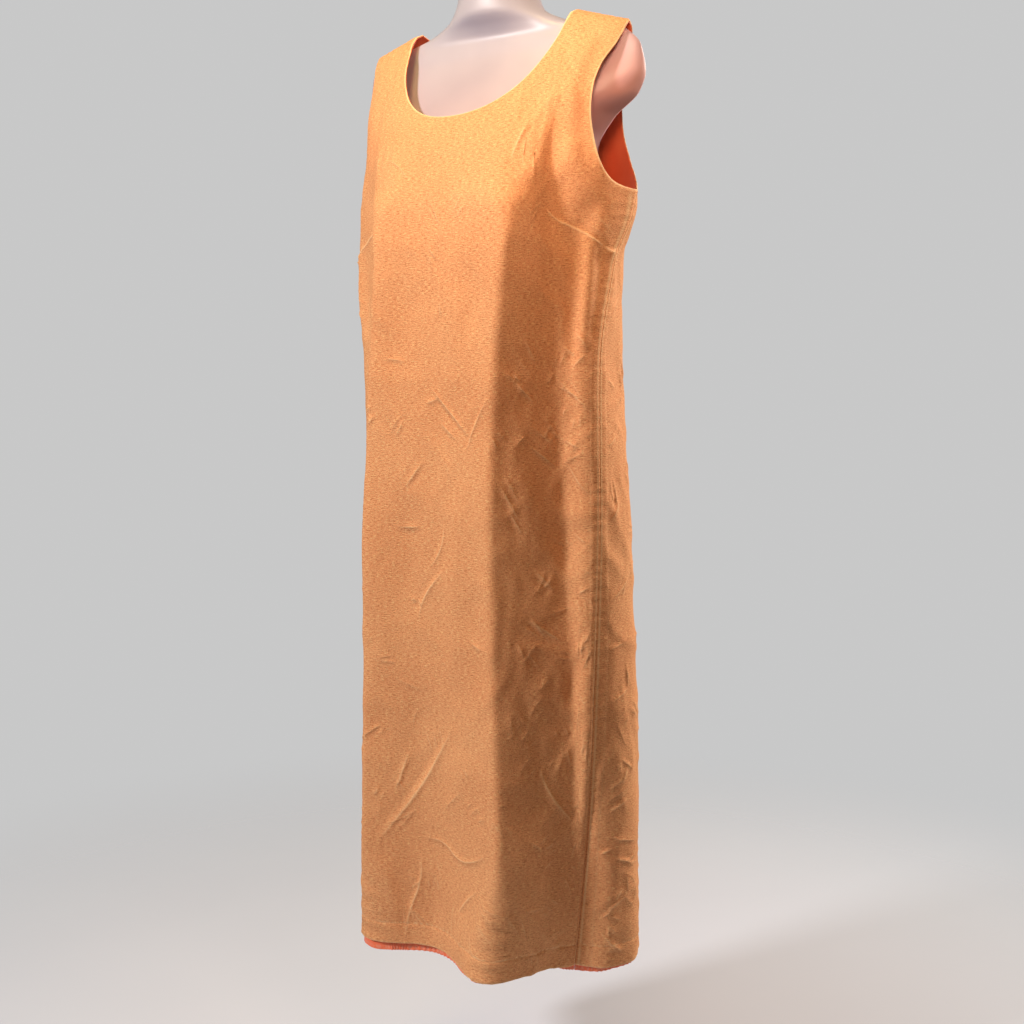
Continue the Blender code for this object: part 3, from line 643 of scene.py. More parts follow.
FRONT_CREASES = (
    # The long diagonal low on the front, the fold beside it, and the curl that it runs into.
    (((40, 905), (14, 948), (-12, 992), (-66, 1072)), 4.5, 1.5),
    (((-28, 948), (-44, 1000)), 4.0, 0.8),
    (((-14, 1082), (-16, 1120), (-34, 1165), (-40, 1200)), 3.2, 1.1),
    # The slack bow under it, and the short ones round the bow.
    (((-10, 1060), (20, 1058), (48, 1076), (72, 1064), (82, 1052)), 3.0, 1.2),
    (((78, 1100), (56, 1132), (46, 1152)), 2.8, 0.9),
    (((36, 1130), (32, 1192)), 2.4, 0.7),
    (((144, 940), (156, 984), (184, 1026)), 3.4, 1.0),
    (((134, 1032), (148, 1052)), 2.2, 0.7),
    (((122, 1120), (146, 1121)), 2.2, 0.6),
    (((-74, 1164), (-176, 1200)), 3.5, 0.7),
    (((132, 1176), (140, 1200)), 2.2, 0.6),
    # Waist to hip.
    (((8, 492), (34, 518), (66, 546)), 2.4, 0.9),
    (((96, 500), (78, 528), (62, 566)), 2.4, 0.9),
    (((124, 480), (152, 508)), 2.8, 0.9),
    (((146, 558), (176, 584)), 2.6, 0.8),
    (((166, 488), (178, 472)), 2.2, 0.7),
    (((110, 600), (132, 646)), 2.8, 0.9),
    (((-30, 612), (-6, 580)), 2.8, 0.9),
    (((-62, 456), (-32, 460)), 2.6, 0.6),
    (((20, 532), (46, 552)), 2.4, 0.7),
    (((28, 652), (24, 684), (6, 708)), 2.8, 0.9),
    (((28, 708), (-4, 744), (-12, 774)), 3.0, 1.0),
    (((-66, 832), (-42, 833)), 2.4, 0.6),
    (((120, 632), (135, 661)), 2.6, 0.8),
    (((148, 706), (166, 730)), 2.6, 0.8),
    (((140, 764), (171, 793)), 2.8, 1.0),
    (((130, 817), (146, 792)), 2.4, 0.7),
    (((126, 788), (132, 808)), 2.2, 0.6),
    # Beside the left seam.
    (((186, 550), (210, 561)), 2.6, 0.8),
    (((192, 580), (206, 600), (219, 614)), 2.8, 0.9),
    (((192, 443), (205, 453)), 2.6, 0.8),
    (((198, 660), (220, 676)), 2.6, 0.7),
    (((204, 735), (222, 726)), 2.6, 0.8),
    (((192, 850), (216, 872)), 2.8, 0.8),
    (((200, 930), (220, 915)), 2.6, 0.7),
    (((196, 1000), (216, 1022)), 2.6, 0.8),
    (((186, 1090), (214, 1108)), 2.6, 0.8),
    # Bodice and straps.
    (((-72, 212), (-36, 242)), 2.4, 0.7),
    (((94, 230), (98, 200), (101, 172)), 2.6, 1.0),
    (((108, 237), (104, 196)), 2.4, 0.8),
    (((118, 250), (120, 214)), 2.4, 0.6),
    (((108, 68), (138, 52), (168, 38)), 2.6, 0.7),
    (((116, 76), (180, 34)), 2.4, 0.5),
    (((126, 82), (160, 66)), 2.2, 0.5),
    (((-124, 60), (-158, 44)), 2.4, 0.5),
    (((-112, 78), (-150, 72)), 2.2, 0.4),
    # The hidden side of the front, beside the right seam.
    (((-100, 232), (-104, 190)), 2.6, 0.8),
    (((-150, 500), (-178, 528)), 2.8, 0.9),
    (((-128, 566), (-110, 600)), 2.6, 0.8),
    (((-200, 470), (-218, 482)), 2.6, 0.8),
    (((-196, 620), (-222, 606)), 2.6, 0.8),
    (((-160, 700), (-136, 742)), 2.8, 0.9),
    (((-204, 760), (-224, 774)), 2.4, 0.8),
    (((-120, 828), (-146, 852)), 2.8, 0.9),
    (((-186, 900), (-216, 926)), 3.0, 0.9),
    (((-140, 940), (-118, 984)), 3.0, 0.9),
    (((-200, 1040), (-222, 1022)), 2.6, 0.8),
    (((-150, 1080), (-172, 1116)), 2.8, 0.8),
    (((-100, 1110), (-84, 1150)), 2.6, 0.7),
    # The soft falls and hollows that the whole front takes between its folds.
    (((-86, 300), (-78, 420), (-62, 560)), 20, 2.0),
    (((-40, 330), (-30, 480)), 22, -2.0),
    (((30, 300), (42, 410), (44, 520)), 18, 1.8),
    (((66, 330), (70, 440)), 13, -1.2),
    (((-96, 600), (-70, 760), (-60, 900)), 24, 2.2),
    (((-20, 620), (-28, 780)), 22, -2.2),
    (((52, 600), (40, 720), (48, 860)), 18, 2.0),
    (((74, 700), (80, 860)), 14, -1.5),
    (((-4, 860), (-22, 1000)), 20, -1.8),
    (((60, 930), (30, 1030)), 18, 2.0),
    (((-90, 960), (-110, 1170)), 20, -2.2),
    (((-60, 1090), (-66, 1200)), 15, 2.2),
    (((0, 1110), (-6, 1205)), 13, -2.0),
    (((60, 1140), (66, 1205)), 14, 1.8),
    (((134, 560), (150, 700)), 15, 2.0),
    (((138, 860), (150, 1010)), 14, -1.8),
    (((128, 1000), (136, 1200)), 15, 2.2),
    (((-140, 420), (-132, 600)), 15, 2.0),
    (((-136, 720), (-144, 930)), 16, -2.0),
    (((-132, 1000), (-140, 1200)), 15, 2.2),
    (((90, 110), (118, 160), (128, 216)), 17, -1.6),
    (((-92, 120), (-112, 190)), 20, -1.2),
    (((150, 90), (158, 190)), 12, 1.2),
    # The narrow falls under the left dart and, on the hidden side, under the right one.
    (((197, 296), (200, 350), (201, 470)), 7.5, -4.2),
    (((210, 300), (212, 360), (213, 450)), 7.2, 3.0),
    (((222, 320), (223, 380), (224, 460)), 7.0, -2.4),
    (((-204, 300), (-206, 430)), 8.0, -3.2),
    (((-217, 320), (-218, 440)), 7.2, 2.0),
    (((168, 150), (170, 205), (160, 262)), 15, -3.4),
    (((196, 196), (201, 250), (196, 290)), 12, 2.8),
)

BACK_CREASES = (
    # Beside the left seam, where they fan out from it.
    (((243, 1062), (225, 1055)), 2.4, 0.9),
    (((221, 1068), (200, 1080)), 2.4, 0.9),
    (((228, 1137), (207, 1120)), 2.6, 1.0),
    (((236, 1145), (221, 1135)), 2.2, 0.8),
    (((219, 943), (199, 960)), 2.4, 0.8),
    (((238, 649), (217, 625)), 2.8, 1.0),
    (((236, 745), (202, 720)), 2.8, 0.9),
    (((241, 804), (214, 798)), 2.4, 0.8),
    (((238, 870), (206, 856)), 2.6, 0.8),
    (((240, 560), (222, 548)), 2.6, 0.9),
    (((238, 480), (216, 492)), 2.6, 0.8),
    (((236, 400), (212, 380)), 2.6, 0.8),
    (((232, 1010), (208, 996)), 2.6, 0.8),
    # The same on the right.
    (((-238, 420), (-214, 436)), 2.6, 0.8),
    (((-240, 528), (-218, 512)), 2.6, 0.8),
    (((-236, 640), (-208, 662)), 2.8, 0.9),
    (((-238, 780), (-214, 764)), 2.6, 0.8),
    (((-234, 900), (-204, 924)), 2.8, 0.9),
    (((-238, 1040), (-214, 1026)), 2.4, 0.8),
    (((-232, 1130), (-206, 1146)), 2.6, 0.8),
    # Across the back.
    (((-96, 204), (-58, 222)), 2.8, 0.8),
    (((60, 214), (104, 196)), 2.8, 0.8),
    (((-40, 430), (-8, 452), (34, 440)), 3.0, 1.0),
    (((70, 470), (104, 502)), 2.8, 0.9),
    (((-120, 500), (-88, 534)), 2.8, 0.9),
    (((10, 560), (-14, 604)), 3.0, 0.9),
    (((110, 620), (82, 668)), 3.0, 0.9),
    (((-70, 660), (-98, 704)), 3.0, 0.9),
    (((30, 742), (12, 796)), 2.8, 0.8),
    (((-130, 792), (-104, 830)), 2.8, 0.9),
    (((96, 830), (128, 872)), 3.0, 0.9),
    (((-30, 880), (-10, 930), (36, 960)), 3.4, 1.2),
    (((-90, 960), (-120, 1010)), 3.0, 0.9),
    (((140, 950), (110, 990)), 3.0, 0.8),
    (((60, 1030), (24, 1090)), 3.2, 1.1),
    (((-50, 1050), (-74, 1100), (-70, 1150)), 3.2, 1.0),
    (((116, 1080), (140, 1130)), 3.0, 0.9),
    (((-140, 1090), (-160, 1140)), 2.8, 0.8),
    (((0, 1140), (10, 1190)), 2.6, 0.7),
    (((-130, 60), (-160, 44)), 2.4, 0.5),
    (((128, 58), (160, 40)), 2.4, 0.5),
    # The soft falls and hollows of the whole back.
    (((-80, 110), (-70, 280)), 26, -1.6),
    (((70, 120), (84, 290)), 26, -1.6),
    (((-30, 300), (-40, 520), (-24, 700)), 26, 2.8),
    (((44, 340), (56, 560)), 24, -2.5),
    (((100, 360), (110, 620)), 18, 2.2),
    (((-110, 400), (-96, 640)), 20, -2.2),
    (((16, 640), (30, 860)), 24, 2.5),
    (((-70, 740), (-60, 960)), 24, -2.8),
    (((86, 760), (74, 980)), 22, -2.5),
    (((-10, 900), (-24, 1200)), 24, 3.0),
    (((44, 1000), (50, 1205)), 18, -2.8),
    (((100, 960), (108, 1205)), 20, 3.0),
    (((-84, 1000), (-92, 1205)), 18, 3.0),
    (((-130, 960), (-140, 1205)), 16, -2.5),
    (((150, 1020), (156, 1205)), 14, -2.0),
)

# Small creases, scattered: how many groups, which lie thicker towards the hem and the seams.
SMALL_CREASE_GROUPS = 185
SCATTER_ACROSS = 228
SCATTER_DOWN = (262, 1195)
SMALL_CREASE_SEED = {"front": 11, "back": 12}


def scattered_creases(panel, seed):
    """Groups of one to three small creases side by side, as handling leaves them."""
    draw = np.random.default_rng(seed)
    made, groups = [], 0
    while groups < SMALL_CREASE_GROUPS:
        across = draw.uniform(-SCATTER_ACROSS, SCATTER_ACROSS)
        down = draw.uniform(*SCATTER_DOWN)
        wanted = 0.25 + 0.35 * (down > 800) + 0.4 * (abs(across) > 110)
        angle = draw.normal(1.0, 0.45) * draw.choice((-1, 1))
        reach, count = draw.uniform(6, 24), draw.integers(1, 4)
        gap, spread = draw.uniform(5, 11), draw.normal(0, 0.22)
        if draw.uniform() > wanted:
            continue
        groups += 1
        for k in range(count):
            turned = angle + k * spread
            half = reach * draw.uniform(0.55, 1.1)
            x, y = half * math.cos(turned), half * math.sin(turned)
            at, low = across - k * gap * math.sin(angle), down + k * gap * math.cos(angle)
            low += draw.uniform(-6, 6)
            bend = draw.uniform(-2.5, 2.5)
            path = ((at - x, low - y), (at + bend, low + bend), (at + x, low + y))
            half_width, height = draw.uniform(1.8, 3.0), draw.uniform(0.30, 0.80)
            made.append(Crease(path, half_width, height, panel.middle, small=True))
    return made


CRUMPLE_SIZE = 0.040
CRUMPLE_HEIGHT = 0.0017
CRUMPLE_LONGER = 0.5
CRUMPLE_BEND = 0.7
# The ridged noise's dimension, lacunarity, octaves, offset and gain.
CRUMPLE_RIDGES = (0.9, 2.0, 2, 1.0, 1.5)


def crumple(points, seed):
    """What handling leaves all over the cloth: low bends with sharp tops, finer than its creases."""
    made = []
    for x, y in points / CRUMPLE_SIZE:
        bent = x + CRUMPLE_BEND * noise.noise((0.8 * x, 0.8 * y, seed + 0.5))
        at = (bent, CRUMPLE_LONGER * y, seed)
        made.append(noise.ridged_multi_fractal(at, *CRUMPLE_RIDGES))
    return np.array(made)


def creases_of(name, panel, table):
    placed = [Crease(*row, panel.middle) for row in table]
    return placed + scattered_creases(panel, SMALL_CREASE_SEED[name])


# ---------------------------------------------------------------------------------------------
# Sewing: seams, darts, the turned hem and the bagged-out neck and armholes.

ALLOWANCE = 0.0125
ALLOWANCE_HEIGHT = 0.0010
SEAM_GROOVE = 0.0008
SEAM_GROOVE_WIDTH = 0.0014
PUCKER_HEIGHT = 0.0006
PUCKER_REACH = 0.008
HEM_TURN = 0.027
HEM_DIMPLE = 0.0009
HEM_DIMPLE_EVERY = 0.0074
DART = ((230, 332), (200, 308), (168, 283))
DART_INTAKE = 0.009
EDGE_ROLL = 0.0006
FACING_WIDTH = 0.0065
FACING_HEIGHT = 0.0004
EDGE_PUCKER = 0.00022
HEM_THICK = 0.0005
HEM_WAVE = 0.0006
DART_THREAD = 0.0010
DART_FOLD = 0.00098
DART_KNOB = 0.00176
WAVES = 6
# How far in from a curved edge, a seam and the shoulder the cloth is held too flat to crease.
CALM_EDGE = 0.022
CALM_SEAM = 0.016
CALM_SHOULDER = 0.020
# The wearer's left side is the most crumpled: how much the rest is, how much more that side is,
# and where the change lies, in metres left of the middle.
HANDLED = 0.6
HANDLED_MORE = 0.8
HANDLED_FROM = (0.08, 0.14)
DRAWN_IN_STEP = 0.002
LEAST_DRAWN_IN = 0.25


def uneven(at, seed, shortest, longest):
    """A smooth uneven line from -1 to 1, from a few waves between two lengths."""
    draw = np.random.default_rng(seed)
    total = 0 * at
    for _ in range(WAVES):
        total += np.sin(at * (2 * math.pi / draw.uniform(shortest, longest)) + draw.uniform(0, 6.28))
    return total / (0.8 * WAVES)


def seam_height(distance, length, seed):
    """A pressed seam: a groove, the allowance showing through beside it, and puckers."""
    imprint = (1 - fade(ALLOWANCE - 0.002, ALLOWANCE + 0.0005, distance)) * ALLOWANCE_HEIGHT
    groove = SEAM_GROOVE * bell(distance, SEAM_GROOVE_WIDTH)
    pucker = PUCKER_HEIGHT * uneven(length, seed, 0.006, 0.017) * bell(distance - 0.004, PUCKER_REACH)
    return imprint - groove + pucker


def dart_height(panel, points, side, ridge):
    """A dart pressed down: its stitched line stands a little proud, over the folded intake."""
    path = np.array(DART, float) * MM * (side, 1) + (panel.middle, 0)
    line = spaced(path, FINE_STEP)
    distance, place = nearest(line, points)
    share = place / (len(line) - 1)
    below = points[:, 1] > line[place, 1]
    thread = bell(distance, 0.0011) * (1 - fade(0.85, 1.0, share))
    intake = DART_INTAKE * (1 - 0.9 * share)
    fold = below * (1 - fade(0.75 * intake, 1.15 * intake + 0.001, distance)) * (1 - share)
    knob = bell(distance + 0.3 * share, 0.003) * (share < 0.05)
    # Painted highlight along the dart's stitched line.
    np.maximum(ridge, thread, out=ridge)
    return DART_THREAD * thread + DART_FOLD * fold + DART_KNOB * knob


def dart_lines(panel):
    """The two darts as creases, so that the mesh is fine enough to show their stitching."""
    return [Crease(tuple((side * x, y) for x, y in DART), 1.3, 0.8, panel.middle) for side in (-1, 1)]


def cloth_relief(name, panel, cut, points, creases, sewn):
    """The height of the cloth above its plain surface, how strongly a painted highlight lies on its
    crease crests, seams and stitching, and how near it is to a turned edge, which takes a painted
    highlight too. The lining takes only the large forms."""
    height, ridge = np.zeros(len(points)), np.zeros(len(points))
    for crease in creases:
        if sewn or not crease.is_fine():
            crease.raise_cloth(points, height, ridge)
    width, length = points.T
    curve = np.concatenate([spaced(line, FINE_STEP) for line in cut.curves])
    distance = np.full(len(points), 1.0)
    high = length < UNDERARM_LENGTH + RELIEF_BELOW
    distance[high] = nearest(curve, points[high])[0]
    seams = np.minimum(width, panel.width - width)
    calm = fade(0.0, CALM_EDGE, distance) * fade(0.0, CALM_SEAM, seams) * fade(0.0, CALM_SHOULDER, length)
    # Where the folds draw the pattern together a crease is narrower, so it is lower too.
    lying = panel.as_it_lies(points)
    step = np.where(width < panel.middle, DRAWN_IN_STEP, -DRAWN_IN_STEP)
    drawn_in = (panel.as_it_lies(points + np.column_stack([step, 0 * step])) - lying)[:, 0] / step
    height *= calm * np.clip(drawn_in, LEAST_DRAWN_IN, 1)
    if not sewn:
        return height, ridge, 0 * ridge
    ridge *= calm
    handled = HANDLED + HANDLED_MORE * fade(*HANDLED_FROM, width - panel.middle)
    height += CRUMPLE_HEIGHT * crumple(lying, SMALL_CREASE_SEED[name]) * handled * calm
    below = fade(UNDERARM_LENGTH - 0.004, UNDERARM_LENGTH + 0.01, length)
    for k, across in enumerate((width, panel.width - width)):
        height += below * seam_height(across, length, 20 + k)
    height += seam_height(length, width, 30) * (1 - fade(0.010, 0.014, length)) * fade(0.0, 0.004, distance)
    if name == "front":
        for side in (-1, 1):
            height += dart_height(panel, points, side, ridge)
    up = cut.hem - length
    stitch = 0.5 + 0.5 * np.cos(width * 2 * math.pi / HEM_DIMPLE_EVERY + 2 * uneven(width, 41, 0.04, 0.11))
    height -= HEM_DIMPLE * bell(up - HEM_TURN, 0.0015) * (0.35 + 0.65 * stitch)
    height += HEM_THICK * (1 - fade(HEM_TURN - 0.002, HEM_TURN + 0.0015, up))
    # Painted highlight along the hem's stitching.
    np.maximum(ridge, 0.9 * bell(up - HEM_TURN - 0.0015, 0.0012) * stitch, out=ridge)
    # Painted highlight on the edges of the pressed seams.
    pressed = 2.0 * bell(seams - 0.0026, 0.0010) + 0.6 * bell(seams - ALLOWANCE, 0.0011)
    np.maximum(ridge, 0.45 * below * pressed, out=ridge)
    height += HEM_WAVE * uneven(width, 42, 0.012, 0.05) * (1 - fade(0.0, 0.02, up))
    height += FACING_HEIGHT * (1 - fade(FACING_WIDTH - 0.0015, FACING_WIDTH + 0.001, distance))
    height -= EDGE_ROLL * bell(distance, 0.0010)
    around = np.where(distance < 0.02, points.sum(1), 0)
    height += EDGE_PUCKER * uneven(around, 43, 0.007, 0.02) * (1 - fade(0.006, 0.016, distance))
    # Painted highlight along the turned edges and the hem's fold.
    edge = np.maximum(1 - fade(0.0007, 0.0019, distance), 0.6 * (1 - fade(0.0004, 0.0016, up)))
    return height, ridge, edge


# ---------------------------------------------------------------------------------------------
# Walls.

CLOTH_WALL = 0.0008
LINING_WALL = 0.0005
EDGE_BULGE = 0.45
LINING_DEPTH = 0.0014
LINING_SLACK = 0.0022
LINING_FREE_FROM = (0.30, 0.62)
SEAM_GAP = 0.0002

# How far the lining's hem is drawn up: millimetres across from the middle, and up.
FRONT_LINING_RISE = (
    (-243, 1), (-120, 0), (-40, 1), (60, 5), (95, 8), (112, 18), (185, 20), (200, 8), (243, 5)
)
BACK_LINING_RISE = ((-250, 1), (-120, 4), (0, 2), (110, 5), (200, 7), (250, 5))
RISE_FROM = 1.06
GATHER_EVERY = 0.0064
GATHER_HEIGHT = 0.0007
LINING_WAVE = 0.0012


def mitre(normal, other):
    """The step that moves two meeting walls' faces by one unit each."""
    both = normal + other
    return both / (1 + (normal * other).sum(1))[:, None]


def wall_ways(panel, partner, flat):
    """The way each point moves for the wall's depth: the normal, or at a seam the mitre with the
    partner panel's normal. Also the small step that opens the seam."""
    width, length = flat.T
    over, fall, normal = panel.directions(width, length)
    way, opening = normal.copy(), np.zeros_like(normal)
    below_arm = length > UNDERARM_LENGTH - TINY
    for at_seam, other_width, step in (
        (below_arm & (width < TINY), 0.0, over),
        (below_arm & (width > panel.width - TINY), partner.width, -over),
    ):
        rows = length[at_seam]
        _, _, other = partner.directions(0 * rows + other_width, rows)
        way[at_seam] = mitre(normal[at_seam], other)
        opening[at_seam] += step[at_seam] * SEAM_GAP / 2
    shoulder = length < TINY
    share = width[shoulder] / panel.width
    _, _, other = partner.directions(share * partner.width, 0 * share)
    way[shoulder] = mitre(normal[shoulder], other)
    opening[shoulder] += fall[shoulder] * SEAM_GAP / 2
    return way, opening


def build_wall(name, outer, way, thickness, lying, triangles, rounded, attributes):
    """A closed wall from its outer face, whose outline comes first. rounded says how much each
    point of the outline is rounded."""
    count, edge = len(outer), len(rounded)
    inner = outer - way * thickness
    line = outer[:edge]
    out = np.cross(np.roll(line, -1, axis=0) - np.roll(line, 1, axis=0), way[:edge])
    out /= np.maximum(np.linalg.norm(out, axis=1), TINY)[:, None]
    out *= np.sign((out * (line - outer.mean(0))).sum(1))[:, None]
    rim = (line + inner[:edge]) / 2 + out * (EDGE_BULGE * thickness * rounded)[:, None]
    faces = [*triangles, *((c + count, b + count, a + count) for a, b, c in triangles)]
    for i in range(edge):
        j = (i + 1) % edge
        m, n = 2 * count + i, 2 * count + j
        faces.append((j, i, m, n))
        faces.append((n, m, i + count, j + count))
    data = bpy.data.meshes.new(name)
    data.from_pydata(np.concatenate([outer, inner, rim]), [], faces)
    # The point of the pattern that each point of the wall comes from.
    source = np.concatenate([np.arange(count), np.arange(count), np.arange(edge)])
    corner = np.empty(len(data.loops), np.int32)
    data.loops.foreach_get("vertex_index", corner)
    layer = data.uv_layers.new(name="pattern")
    layer.data.foreach_set("uv", (lying[source[corner]] * (1, -1)).astype(np.float32).ravel())
    for label, values in attributes.items():
        made = data.attributes.new(label, "FLOAT", "POINT")
        made.data.foreach_set("value", values[source].astype(np.float32))
    mesh = bmesh.new()
    mesh.from_mesh(data)
    return place_mesh(mesh, data)


def place_mesh(mesh, data):
    """Writes a bmesh to its data, smooth and with its faces outwards, and puts it in the scene."""
    bmesh.ops.recalc_face_normals(mesh, faces=mesh.faces)
    mesh.to_mesh(data)
    mesh.free()
    data.shade_smooth()
    made = bpy.data.objects.new(data.name, data)
    bpy.context.scene.collection.objects.link(made)
    return made


def build_sheet(name, panel, partner, cut, mesh, raised, places, wall, attributes):
    """One cut sheet of cloth as a closed wall. mesh is the flat pattern's points and triangles,
    raised how high each point lies above the panel's surface, and places where on it they hang."""
    flat, triangles = mesh
    way, opening = wall_ways(panel, partner, flat)
    outer = panel.place(*places) + opening + way * raised[:, None]
    # Only the edges that are sewn to no other panel are rounded.
    width, length = flat[: len(cut.outline)].T
    sewn = (length < TINY) | (width < TINY) | (width > panel.width - TINY)
    rounded = np.where(sewn, 0.0, 1.0)
    piece = build_wall(name, outer, way, wall, panel.as_it_lies(flat), triangles, rounded, attributes)
    return piece


def build_dress_panel(name, panel, partner, table, grid):
    creases = creases_of(name, panel, table)
    cut = Cut(panel, HEM_LENGTH, HEM_COLUMN_SPACING)
    darts = dart_lines(panel) if name == "front" else []
    mesh = flat_mesh(cut, creases + darts, grid, HEM_STRIPS, HEM_COLUMN_SPACING)
    flat = mesh[0]
    height, ridge, edge = cloth_relief(name, panel, cut, flat, creases, True)
    # Painted highlights: on crease crests, seams and stitching, and along the turned edges.
    attributes = {"ridge": ridge, "turned_edge": edge}
    name = f"dress_{name}_cloth"
    return build_sheet(name, panel, partner, cut, mesh, height, flat.T, CLOTH_WALL, attributes)


def build_lining_panel(name, panel, partner, table, rise, grid):
    creases = [Crease(*row, panel.middle) for row in table]
    cut = Cut(panel, LINING_LENGTH, LINING_HEM_COLUMN_SPACING)
    mesh = flat_mesh(cut, [], grid, LINING_HEM_STRIPS, LINING_HEM_COLUMN_SPACING)
    flat = mesh[0]
    height, _, _ = cloth_relief(name, panel, cut, flat, creases, False)
    width, length = flat.T
    up = cut.hem - length
    gathers = np.sin(width * 2 * math.pi / GATHER_EVERY + 2.5 * uneven(width, 51, 0.03, 0.09))
    height += GATHER_HEIGHT * gathers * (1 - fade(0.002, 0.016, up))
    height += LINING_WAVE * uneven(width, 52, 0.03, 0.12) * (1 - fade(0.02, 0.10, up))
    knots, drawn = np.array(rise, float).T * MM
    drawn = np.interp(width - panel.middle, knots, drawn)
    drawn = drawn * np.clip((length - RISE_FROM) / (cut.hem - RISE_FROM), 0, 1)
    seams = np.minimum(width, panel.width - width)
    depth = LINING_DEPTH + LINING_SLACK * (fade(*LINING_FREE_FROM, length) * fade(0.0, 0.04, seams))
    stitched = bell(up - 0.0035, 0.0014)
    attributes = {"ridge": stitched, "turned_edge": 1 - fade(0.0, 0.004, up)}
    name, places = f"lining_{name}_cloth", (width, length - drawn)
    return build_sheet(name, panel, partner, cut, mesh, height - depth, places, LINING_WALL, attributes)


# ---------------------------------------------------------------------------------------------
# The form and its hook.

FORM_ROWS = table_of(
    "height half_width rim_y depth",
    (-0.500, 0.128, 0.016, 0.104),
    (-0.390, 0.113, 0.016, 0.098),
    (-0.240, 0.134, 0.016, 0.124),
    (-0.160, 0.142, 0.016, 0.118),
    (-0.128, 0.164, 0.015, 0.103),
    (-0.102, 0.198, 0.013, 0.078),
    (-0.078, 0.208, 0.010, 0.057),
    (-0.050, 0.204, 0.005, 0.034),
    (-0.032, 0.188, 0.000, 0.022),
    (-0.021, 0.150, -0.002, 0.017),
    (-0.010, 0.104, 0.001, 0.024),
    (0.008, 0.068, 0.006, 0.040),
    (0.030, 0.058, 0.010, 0.044),
    (0.078, 0.053, 0.012, 0.046),
)
FORM_WALL = 0.0026
FORM_ROUNDNESS = 2.0
BUST_MOUND = 0.034
BUST_MOUND_X = 0.082
BUST_MOUND_HEIGHT = -0.235
BUST_MOUND_RADIUS = 0.052
FORM_COLUMNS = 112
FORM_ROW_SPACING = 0.0034
# The rim's bead: how thick it is, how far from the edge its middle lies, and its half width.
RIM_BEAD = 0.0016
RIM_BEAD_INSET = 0.0015
RIM_BEAD_WIDTH = 0.0022
RIM_TURN = 0.02
# The share of a half turn whose columns crowd towards the rims, where the shell bends most.
CROWDED = 0.35
NECK_EDGE_RADIUS = 0.004
NECK_TOP_ROWS = 12
NECK_EDGE_ROWS = 6
MERGED = 1e-5

WIRE_RADIUS = 0.0022
HOOK_RADIUS = 0.020
HOOK_START = math.radians(-62)
HOOK_END = math.radians(196)
HOOK_Y = -0.010
WIRE_SIDES = 24
# The wire leaves the ferrule this far above the neck, and bends this far below the hook's round.
WIRE_FOOT = 0.0112
KNEE_BELOW = 0.008
KNEE_LIFT = 0.004
BEND_SHARE = 0.2
ARC_POINTS = 90
TIP_FLAT = 0.2
FERRULE_SEAT = 0.0008
FERRULE_EDGE = math.radians(40)
FERRULE_SIDES = 48
FERRULE_PROFILE = (
    (0.0, 0.0), (8.6, 0.0), (9.0, 0.4), (9.0, 2.6), (8.6, 3.0), (8.0, 3.2),
    (7.9, 7.4), (7.6, 8.0), (6.0, 8.2), (5.4, 9.4), (4.6, 9.9), (0.0, 10.0),
)


def form_surface(heights, angles, shrink):
    """Points of the form's outer face. An angle runs from -90 degrees at the right rim to 90 at
    the left one, and shrink draws a row in towards the neck's centre for its flat top."""
    knots = column(FORM_ROWS, "height")
    half_width = smooth(knots, column(FORM_ROWS, "half_width"), heights)
    depth = smooth(knots, column(FORM_ROWS, "depth"), heights)
    rim_y = smooth(knots, column(FORM_ROWS, "rim_y"), heights)
    x = half_width * np.sin(angles)
    forward = depth * np.abs(np.cos(angles)) ** (2 / FORM_ROUNDNESS)
    for side in (-1, 1):
        away = np.hypot(x - side * BUST_MOUND_X, heights - BUST_MOUND_HEIGHT) / BUST_MOUND_RADIUS
        forward = forward + BUST_MOUND * np.exp(-(away**2)) * np.cos(angles) ** 0.5
    return np.stack([x * shrink, rim_y - forward * shrink, SHOULDER_Z + heights], -1)


